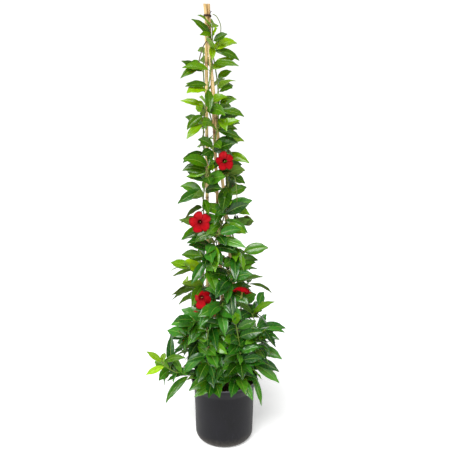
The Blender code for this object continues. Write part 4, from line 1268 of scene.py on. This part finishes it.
def add_bloom_tube(form, bloom, origin):
    """Stalk, five-pointed calyx and green tube of a bloom."""
    middle, face, side, up = bloom_frame(bloom)
    seat = middle - face * (THROAT_DEPTH + GAP)
    bottom = seat - face * 0.018
    bend = (bottom - face * 0.012).lerp(origin, 0.35) - Vector((0, 0, 0.004))
    corners = [origin, origin.lerp(bend, 0.5) - Vector((0, 0, 0.002)), bend, bottom]
    points = smooth_route(corners, 18)
    form.add(*stem_facts(points, [0.0012] * 17 + [0.0013, 0.0016], 8,
                         lambda t: 0.15, lambda t: 0.1, False))
    tube_line = [bottom.lerp(seat, k / 8) for k in range(9)]
    tube_radii = [0.0014, 0.0024, 0.0030, 0.0028, 0.0024, 0.0023, 0.0026, 0.0031, 0.0034]
    form.add(*stem_facts(tube_line, tube_radii, 14, lambda t: 0.0,
                         lambda t: max(0.0, t - 0.55) * 1.6, False))
    for k in range(5):
        a = 2 * math.pi * k / 5
        out = side * math.cos(a) + up * math.sin(a)
        line = [bottom + out * 0.0012, bottom + face * 0.004 + out * 0.0031,
                bottom + face * 0.0085 + out * 0.0034, bottom + face * 0.0115 + out * 0.0044]
        form.add(*stem_facts(line, [0.0010, 0.0012, 0.0008, 0.0], 6,
                             lambda t: 0.0, lambda t: 0.25 * t))


def add_bud(form, tip, origin):
    """A closed bud: its petals wound into a pointed red spiral on a green stalk."""
    out = (tip - origin).normalized()
    bend = origin.lerp(tip, 0.55) - Vector((0, 0, 0.005))
    foot = tip - out * 0.021
    form.add(*stem_facts(smooth_route([origin, bend, foot], 12), [0.0012] * 12 + [0.0016],
                         8, lambda t: 0.1, lambda t: 0.1, False))
    side = out.orthogonal().normalized()
    other = out.cross(side)
    verts, faces, place = rod([foot + out * 0.021 * k / 14 for k in range(15)],
                              [0.0031] * 15, 15, True)
    for v, p in zip(verts, place):
        middle = foot + out * 0.021 * p[0]
        spoke = v - middle
        swell = math.sin(math.pi * min(1.0, p[0] * 0.92 + 0.06)) ** 0.8
        a = math.atan2(spoke.dot(other), spoke.dot(side)) + 5.0 * p[0]
        fluted = 1 + 0.10 * math.cos(5 * a)
        if spoke.length > 1e-6:
            v.xyz = middle + spoke * swell * fluted
    form.add(verts, faces, place, [(0, min(1.0, 1.5 * p[0]), 0) for p in place])


shoots = collect_shoots()
cad_tips = {name: tips_of(name) for name in shoots}

# Living mandevilla leaf: leathery and glossy above, with a pale midrib and sunken veins,
# matt and pale below. Old leaves are deep green, new ones lime. Scattered light inside
# the blade brightens the new leaves most.
leaf_skin = new_finish("glossy_leaf")
facts = add_node(leaf_skin, "Attribute", {"attribute_name": "place"}).outputs["Vector"]
fact = add_node(leaf_skin, "SeparateXYZ", links={"Vector": facts}).outputs
own = add_node(leaf_skin, "Attribute", {"attribute_name": "tint"}).outputs["Vector"]
tone = add_node(leaf_skin, "SeparateXYZ", links={"Vector": own}).outputs
coord = add_node(leaf_skin, "TexCoord").outputs["Object"]
aside = add_node(leaf_skin, "Math", {"operation": "ABSOLUTE"}, {0: fact["Y"]})
lag = add_node(leaf_skin, "Math", {"operation": "MULTIPLY", 1: 0.13}, {0: aside})
vein_place = add_node(leaf_skin, "Math", {"operation": "SUBTRACT"}, {0: fact["X"], 1: lag})
vein_turn = add_node(leaf_skin, "Math", {"operation": "MULTIPLY", 1: 2 * math.pi * VEIN_PAIRS},
                     {0: vein_place})
vein_wave = add_node(leaf_skin, "Math", {"operation": "COSINE"}, {0: vein_turn})
vein_mask = add_node(leaf_skin, "ValToRGB", links={"Fac": vein_wave},
                     ramp=[(0.88, 0.0), (0.99, 0.15)])
rib_mask = add_node(leaf_skin, "ValToRGB", links={"Fac": aside},
                    ramp=[(0.015, 0.55), (0.055, 0.0)])
old_tone = add_node(leaf_skin, "ValToRGB", links={"Fac": tone["Y"]},
                    ramp=[(0.0, "0d3409"), (0.5, "225915"), (1.0, "45832d")])
new_tone = add_node(leaf_skin, "ValToRGB", links={"Fac": tone["Y"]},
                    ramp=[(0.0, "365f03"), (0.5, "5f8c05"), (1.0, "98c10e")])
aged = add_node(leaf_skin, "MixRGB",
                links={"Fac": tone["X"], "Color1": old_tone, "Color2": new_tone})
mottle = add_node(leaf_skin, "TexNoise", {"Scale": 110.0, "Detail": 4.0}, {"Vector": coord})
lightness = add_node(leaf_skin, "MapRange", {"To Min": 0.72, "To Max": 1.28}, {"Value": mottle})
mottled = add_node(leaf_skin, "HueSaturation", {"Saturation": 1.05},
                   {"Color": aged, "Value": lightness})
veined = add_node(leaf_skin, "MixRGB", {"Color2": linear("7aa836")},
                  {"Fac": vein_mask, "Color1": mottled})
ribbed = add_node(leaf_skin, "MixRGB", {"Color2": linear("9cbf50")},
                  {"Fac": rib_mask, "Color1": veined})
pale = add_node(leaf_skin, "MixRGB", {"Fac": 0.45, "Color2": linear("7da038")},
                {"Color1": ribbed})
blade_tone = add_node(leaf_skin, "MixRGB",
                      links={"Fac": fact["Z"], "Color1": ribbed, "Color2": pale})
gloss = add_node(leaf_skin, "MapRange", {"To Min": 0.27, "To Max": 0.62}, {"Value": fact["Z"]})
sheen = add_node(leaf_skin, "MapRange", {"To Min": 0.50, "To Max": 0.20}, {"Value": tone["X"]})
pebble = add_node(leaf_skin, "TexNoise", {"Scale": 260.0, "Detail": 3.0}, {"Vector": coord})
sunken = add_node(leaf_skin, "Math", {"operation": "MULTIPLY_ADD", 1: -0.7},
                  {0: vein_mask, 2: pebble})
relief = add_node(leaf_skin, "Bump", {"Strength": 0.35, "Distance": 0.0006}, {"Height": sunken})
dress(leaf_skin, {"IOR": 1.43, "Subsurface Weight": 0.06, "Subsurface Scale": 0.003,
                  "Coat Weight": 0.08, "Coat Roughness": 0.22},
      {"Base Color": blade_tone, "Roughness": gloss,
       "Specular IOR Level": sheen, "Normal": relief})

# Twining stem: grey-brown corky bark on the old wood, smooth green skin on the new, and
# red where it nears a petal. Bark ridges are drawn coarser than the real half millimetre.
bark = new_finish("twining_stem")
own = add_node(bark, "Attribute", {"attribute_name": "tint"}).outputs["Vector"]
tone = add_node(bark, "SeparateXYZ", links={"Vector": own}).outputs
coord = add_node(bark, "TexCoord").outputs["Object"]
lengthways = add_node(bark, "Mapping", {"Scale": (700.0, 700.0, 120.0)}, {"Vector": coord})
cork = add_node(bark, "TexNoise", {"Scale": 1.0, "Detail": 6.0, "Roughness": 0.65},
                {"Vector": lengthways})
wood = add_node(bark, "ValToRGB", links={"Fac": cork},
                ramp=[(0.30, "35261a"), (0.52, "5f4733"), (0.75, "8c7357")])
green = add_node(bark, "ValToRGB", links={"Fac": cork},
                 ramp=[(0.30, "4c6a22"), (0.60, "74922f"), (0.80, "93a83f")])
grown = add_node(bark, "MixRGB", links={"Fac": tone["X"], "Color1": green, "Color2": wood})
freshened = add_node(bark, "MixRGB", {"Color2": linear("a9b04c")},
                     {"Fac": tone["Z"], "Color1": grown})
flushed = add_node(bark, "MixRGB", {"Color2": linear("a8101c")},
                   {"Fac": tone["Y"], "Color1": freshened})
ridges = add_node(bark, "Bump", {"Strength": 0.5, "Distance": 0.0005}, {"Height": cork})
dress(bark, {"Roughness": 0.55}, {"Base Color": flushed, "Normal": ridges})


def stem_form(owner):
    """Main stem, side shoots and leaf stalks of one node."""
    form = Shape()
    for number, shoot in enumerate(shoots[owner]):
        is_vine = number == 0 and owner.startswith("vine")
        detail = 150 if is_vine else 36 if number == 0 else 14
        points = smooth_route(shoot.points, detail)
        points.append(points[-1] + (points[-1] - points[-2]).normalized() * 0.004)
        radii = knuckled(points, shoot.r_low, shoot.r_top, number + len(owner))
        sides, old, fall = (12, 1.05, 1.15) if is_vine else (10, 0.55, 0.75)
        form.add(*stem_facts(points, radii, sides, lambda t: max(0.0, old - fall * t),
                             lambda t: 0.0))
    return form


def grow(owner):
    """Stem piece and leaf piece of one node."""
    stems = stem_form(owner)
    leaves = Shape()
    draws = random.Random("blades " + owner)
    for leaf, shift, share in standing_leaves[owner] + sprigs_on(owner):
        youth = age_of(owner, leaf, share, draws)
        leaves.add(*blade(leaf, shift, draws, youth))
        verts, faces, place = stalk(leaf, shift)
        stems.add(verts, faces, place, (0.12, 0.05, 0))
    return stems, leaves


standing_leaves = {owner: placed_leaves(owner) + paired_leaves(owner) + front_leaves(owner)
                   for owner in shoots}
node_boxes = {}
crowd = Crowd()
for owner, found in standing_leaves.items():
    low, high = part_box(owner)
    node_boxes[owner] = (low - pot_axis, high - pot_axis)
    for leaf, shift, share in found:
        crowd.add(leaf)
for bloom in BLOOMS:
    middle, face, side, up = bloom_frame(bloom)
    for k in range(24):
        a = 2 * math.pi * k / 8
        reach = bloom[4] * (0.6, 1.0, 0.8)[k // 8]
        ahead = (0.0, 0.012, 0.030)[k // 8]
        crowd.take(middle + face * ahead + (side * math.cos(a) + up * math.sin(a)) * reach)

# Runners: vine, shares of its length where one starts and ends, turn, age
RUNNERS = (
    ("vine_front", 0.30, 0.54, 0.0, 0.0), ("vine_front", 0.34, 0.50, 2.6, 0.1),
    ("vine_left", 0.36, 0.55, 1.2, 0.0), ("vine_right", 0.30, 0.52, 4.0, 0.2),
    ("vine_right", 0.62, 0.83, 0.5, 0.6), ("vine_left", 0.70, 0.93, 2.0, 1.0),
    ("vine_front", 0.66, 0.90, 5.0, 0.4),
)
RUNNER_R = 0.0012
RUNNER_PITCH = 0.036


def runner(vine, first, last, turn):
    """A thin young shoot wound round its own vine, its tip waving free."""
    route = smooth_route(shoots[vine][0].points, 150)
    total = route_length(route)
    steps = int((last - first) * total / 0.004)
    out = []
    for k in range(steps + 1):
        share = first + (last - first) * k / steps
        spot, way = along(route, share)
        side = way.orthogonal().normalized()
        other = way.cross(side)
        a = turn - 2 * math.pi * share * total / RUNNER_PITCH
        off = vine_radius(share) + RUNNER_R + 0.0004 + 0.012 * max(0.0, k / steps - 0.86)
        if k == 0:
            off = 0.0
        out.append(spot + side * off * math.cos(a) + other * off * math.sin(a))
    return out


stem_forms = {}
for owner in shoots:
    stem_forms[owner], leaves = grow(owner)
    blades = leaves.to_piece(owner + "_leaves", leaf_skin, 55)
    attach(blades, "root")
    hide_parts(owner)
for vine, first, last, turn, age in RUNNERS:
    points = runner(vine, first, last, turn)
    radii = [RUNNER_R * (1 - 0.4 * k / len(points)) for k in range(len(points))]
    stem_forms[vine].add(*stem_facts(points, radii, 7, lambda t: age * (1 - t),
                                     lambda t: 0.0, True, 0.8 - 0.8 * age))
for bloom in BLOOMS:
    owner, origin = bloom_owner(bloom)
    add_bloom_tube(stem_forms[owner], bloom, origin)
for tip in BUDS:
    place = Vector(tip) * 0.001
    owner, origin = vine_at(place.z - 0.03, place)
    add_bud(stem_forms[owner], place, origin)
for height, route, r, age in ((1.392, LOOP_SHOOT, 0.0014, 0.4),
                              (1.425, CROSSING_SHOOT, 0.0017, 1.0),
                              (0.990, HANGING_SHOOT, 0.0016, 0.3)):
    corners = [Vector(c) * 0.001 for c in route]
    owner, origin = vine_at(height, corners[0])
    stem_forms[owner].add(*stem_facts(smooth_route([origin] + corners, 30), [r] * 31, 8,
                                      lambda t: age * (1 - 0.3 * t), lambda t: 0.0))
for owner, form in stem_forms.items():
    stems = form.to_piece(owner + "_stems", bark, 60)
    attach(stems, "root")
    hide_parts(owner)


# Blooms
# Four open red blooms. Each corolla is a funnel that opens into five broad petals, every
# petal lapped over its neighbour like a pinwheel, with a pale cone of anthers inside.

PETAL_ROWS = 15
PETAL_COLUMNS = 22
PETAL_THICK = 0.0005
FUNNEL_SIDES = 30
BELL_RINGS = 5                     # rings of the funnel that show the bell's own colour


def petal_edge(u):
    """Outline as a share of the radius, also where a petal laps under or over the next."""
    if u < 0:
        return max(0.245, 0.80 + 3.6 * u)
    if u > 0.96:
        return 0.80 - 2.0 * (u - 0.96)
    return 0.80 + 0.22 * math.sin(math.pi * min(1.0, u * 1.04) ** 1.90) ** 0.50


def sheet_faces(rows, columns):
    """Faces of a thin sheet: its upper grid of corners, its lower one and its rim."""
    faces = []
    half = rows * columns
    for i in range(rows - 1):
        for j in range(columns - 1):
            a = i * columns + j
            b = a + columns
            faces.append((a, b, b + 1, a + 1))
            faces.append((half + a, half + a + 1, half + b + 1, half + b))
    rim = list(range(columns))
    rim += [i * columns + columns - 1 for i in range(1, rows)]
    rim += [(rows - 1) * columns + j for j in range(columns - 2, -1, -1)]
    rim += [i * columns for i in range(rows - 2, 0, -1)]
    for a, b in zip(rim, rim[1:] + rim[:1]):
        faces.append((a, b, half + b, half + a))
    return faces


def petal(bloom, number, draws):
    """One closed thin petal: a lapped, softly ruffled sheet."""
    middle, face, side, up = bloom_frame(bloom)
    spin, radius, droop, slump = bloom[3:7]
    lean = draws.uniform(-0.05, 0.12)
    lean += slump * min(1.0, 1 + math.sin(spin + 2 * math.pi * (number + 0.5) / 5))
    size = draws.uniform(0.95, 1.03)
    phase = draws.uniform(0, 6)
    verts = []
    place = []
    for layer in (0, 1):
        for i in range(PETAL_ROWS):
            s = i / (PETAL_ROWS - 1)
            for j in range(PETAL_COLUMNS):
                u = -0.15 + 1.22 * j / (PETAL_COLUMNS - 1)
                edge = petal_edge(u)
                rho = 0.235 + (edge * size - 0.235) * s
                a = spin + 2 * math.pi * (number + u) / 5
                z = -0.0020 + 0.0045 * (u - 0.46) * min(1.0, rho * 1.6)
                z += 0.0016 * math.sin(math.pi * 2 * u) * rho
                z += 0.0013 * s ** 3 * math.sin(13 * u + phase)
                z += 0.0012 * math.exp(-((u - 0.5) / 0.10) ** 2) * s * (1 - s)
                thick = PETAL_THICK * (1 - 0.5 * s)
                z += thick if layer == 0 else -thick
                way = side * math.cos(a) + up * math.sin(a)
                bend = (droop + lean) * min(1.0, rho * 1.25)
                out = way * math.cos(bend) - face * math.sin(bend)
                verts.append(middle + out * radius * rho + face * z)
                place.append((rho / (edge * size), u, layer))
    return verts, sheet_faces(PETAL_ROWS, PETAL_COLUMNS), place, (draws.random(), 0, 0)


def funnel(bloom):
    """The throat: a thin-walled funnel from the tube out to the foot of the petals."""
    middle, face, side, up = bloom_frame(bloom)
    radius = bloom[4]
    wide = 0.29 * radius
    line = ((0.0, -THROAT_DEPTH), (TUBE_R, -THROAT_DEPTH), (0.0037, -0.017),
            (0.0060, -0.0145), (0.0076, -0.0105), (0.0088, -0.0060), (wide, -0.0030),
            (wide - 0.0002, -0.0021), (0.0082, -0.0052), (0.0070, -0.0098),
            (0.0053, -0.0138), (0.0030, -0.0165), (0.0, -0.0185))
    verts, faces = lathe(line, FUNNEL_SIDES)
    place = []
    for k, v in enumerate(verts):
        out = Vector((v.x, v.y, 0)).length
        lobe = 1 + 0.05 * math.cos(5 * (math.atan2(v.y, v.x) - bloom[3]))
        outside = 2 if k <= FUNNEL_SIDES * BELL_RINGS else 0
        place.append((0.30 * max(0.0, 1 + v.z / 0.016) * out / wide, 0.5, outside))
        v.xyz = middle + (side * v.x + up * v.y) * lobe + face * v.z
    return verts, faces, place


def anthers(bloom):
    """Five anthers leaning together in a cone, deep in the throat."""
    middle, face, side, up = bloom_frame(bloom)
    out = []
    for k in range(5):
        a = 2 * math.pi * k / 5
        way = side * math.cos(a) + up * math.sin(a)
        foot = middle - face * 0.0175 + way * 0.0014
        tip = middle - face * 0.0030 + way * 0.0004
        line = [foot.lerp(tip, j / 6) for j in range(7)]
        out.append(rod(line, [0.0006, 0.0009, 0.0010, 0.0010, 0.0008, 0.0005, 0.0002], 7))
    return out


# Mandevilla petal: soft velvety red with a satin sheen, darkening to maroon in the
# throat and the edge, with fine rays along the petal. The bell behind the petals is
# yellow-green outside, and the anthers are pale straw.
velvet = new_finish("velvet_red_petal")
facts = add_node(velvet, "Attribute", {"attribute_name": "place"}).outputs["Vector"]
fact = add_node(velvet, "SeparateXYZ", links={"Vector": facts}).outputs
own = add_node(velvet, "Attribute", {"attribute_name": "tint"}).outputs["Vector"]
tone = add_node(velvet, "SeparateXYZ", links={"Vector": own}).outputs
depth = add_node(velvet, "ValToRGB", links={"Fac": fact["X"]},
                 ramp=[(0.0, "7a1016"), (0.12, "78080e"), (0.26, "7a000a"), (0.38, "90000c"),
                       (0.72, "aa000e"), (0.90, "98000d"), (1.0, "68000a")])
ray_place = add_node(velvet, "CombineXYZ", {"Z": 0.0}, {"X": fact["X"], "Y": fact["Y"]})
ray_way = add_node(velvet, "Mapping", {"Scale": (2.5, 34.0, 1.0)}, {"Vector": ray_place})
rays = add_node(velvet, "TexNoise", {"Scale": 1.0, "Detail": 4.0, "Roughness": 0.6},
                {"Vector": ray_way})
ray_light = add_node(velvet, "MapRange", {"To Min": 0.72, "To Max": 1.22}, {"Value": rays})
rayed = add_node(velvet, "HueSaturation", links={"Color": depth, "Value": ray_light})
pollen = add_node(velvet, "MixRGB", {"Color2": linear("d9b878")},
                  {"Fac": tone["Y"], "Color1": rayed})
outside = add_node(velvet, "Math", {"operation": "SUBTRACT", 1: 1.0, "use_clamp": True},
                   {0: fact["Z"]})
belled = add_node(velvet, "MixRGB", {"Color2": linear("7f9418")},
                  {"Fac": outside, "Color1": pollen})
creases = add_node(velvet, "Bump", {"Strength": 0.3, "Distance": 0.0005}, {"Height": rays})
dress(velvet, {"Roughness": 0.55, "Specular IOR Level": 0.10, "Subsurface Weight": 0.08,
               "Subsurface Scale": 0.003},
      {"Base Color": belled, "Normal": creases})

for bloom in BLOOMS:
    draws = random.Random("petals " + bloom[0])
    flower = Shape()
    for number in range(5):
        flower.add(*petal(bloom, number, draws))
    flower.add(*funnel(bloom), (0.5, 0, 0))
    for verts, faces, place in anthers(bloom):
        flower.add(verts, faces, place, (0.5, 0.75, 0))
    corolla = flower.to_piece(bloom[0] + "_corolla", velvet, 60)
    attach(corolla, "root")
    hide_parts(bloom[0])


# Floor, light and camera
# A plain white studio floor, soft light from the upper left with a weaker fill, and the
# camera a little over two metres off, at the height of the upper leaves, looking down.

CAMERA_BACK = 2.075
CAMERA_HEIGHT = 1.334
CAMERA_SIDE = 0.003
CAMERA_DOWN = 14.1                 # degrees below level
CAMERA_LENS = 49.52                # mm, on a 36 mm wide sensor
FLOOR_REACH = 8.0

paper = new_finish("white_paper")
dress(paper, {"Base Color": linear("f7f7f7"), "Roughness": 0.9,
              "Emission Color": linear("ffffff"), "Emission Strength": 0.32}, {})
floor_mesh = bpy.data.meshes.new("studio_floor")
corners = [(x * FLOOR_REACH, y * FLOOR_REACH, 0)
           for x, y in ((-1, -1), (1, -1), (1, 1), (-1, 1))]
floor_mesh.from_pydata(corners, [], [(0, 1, 2, 3)])
floor_mesh.materials.append(paper)
floor = bpy.data.objects.new("studio_floor", floor_mesh)
bpy.context.scene.collection.objects.link(floor)

sky = bpy.data.worlds.new("studio_walls")
bpy.context.scene.world = sky
sky.use_nodes = True
walls = sky.node_tree.nodes["Background"].inputs
walls["Color"].default_value = (1, 1, 1, 1)
seen = add_node(sky, "LightPath").outputs["Is Camera Ray"]
glow = add_node(sky, "MapRange", {"To Min": 0.27, "To Max": 1.1}, {"Value": seen})
sky.node_tree.links.new(glow.outputs["Result"], walls["Strength"])
bpy.context.scene.view_settings.view_transform = "Standard"


def add_lamp(kind, name, place, aim, size, power):
    lamp = bpy.data.lights.new(name, kind)
    if kind == "SUN":
        lamp.angle = size
    else:
        lamp.size = size
    lamp.energy = power
    holder = bpy.data.objects.new(name, lamp)
    holder.location = place
    holder.rotation_euler = (Vector(aim) - Vector(place)).to_track_quat("-Z", "Y").to_euler()
    bpy.context.scene.collection.objects.link(holder)


add_lamp("SUN", "key_light", (-0.6, -2.3, 3.4), (0, 0, 0.5), math.radians(32), 3.2)
add_lamp("AREA", "left_softbox", (-1.9, -0.9, 1.3), (0, 0, 0.6), 1.2, 18)
add_lamp("AREA", "right_softbox", (2.0, -1.6, 1.4), (0, 0, 0.7), 1.1, 8)

camera = bpy.data.cameras.new("photo_view")
camera.sensor_width = 36
camera.lens = CAMERA_LENS
stand = bpy.data.objects.new("photo_view", camera)
stand.location = (pot_axis.x + CAMERA_SIDE, pot_axis.y - CAMERA_BACK, CAMERA_HEIGHT)
stand.rotation_euler = (math.radians(90 - CAMERA_DOWN), 0, 0)
bpy.context.scene.collection.objects.link(stand)
bpy.context.scene.camera = stand
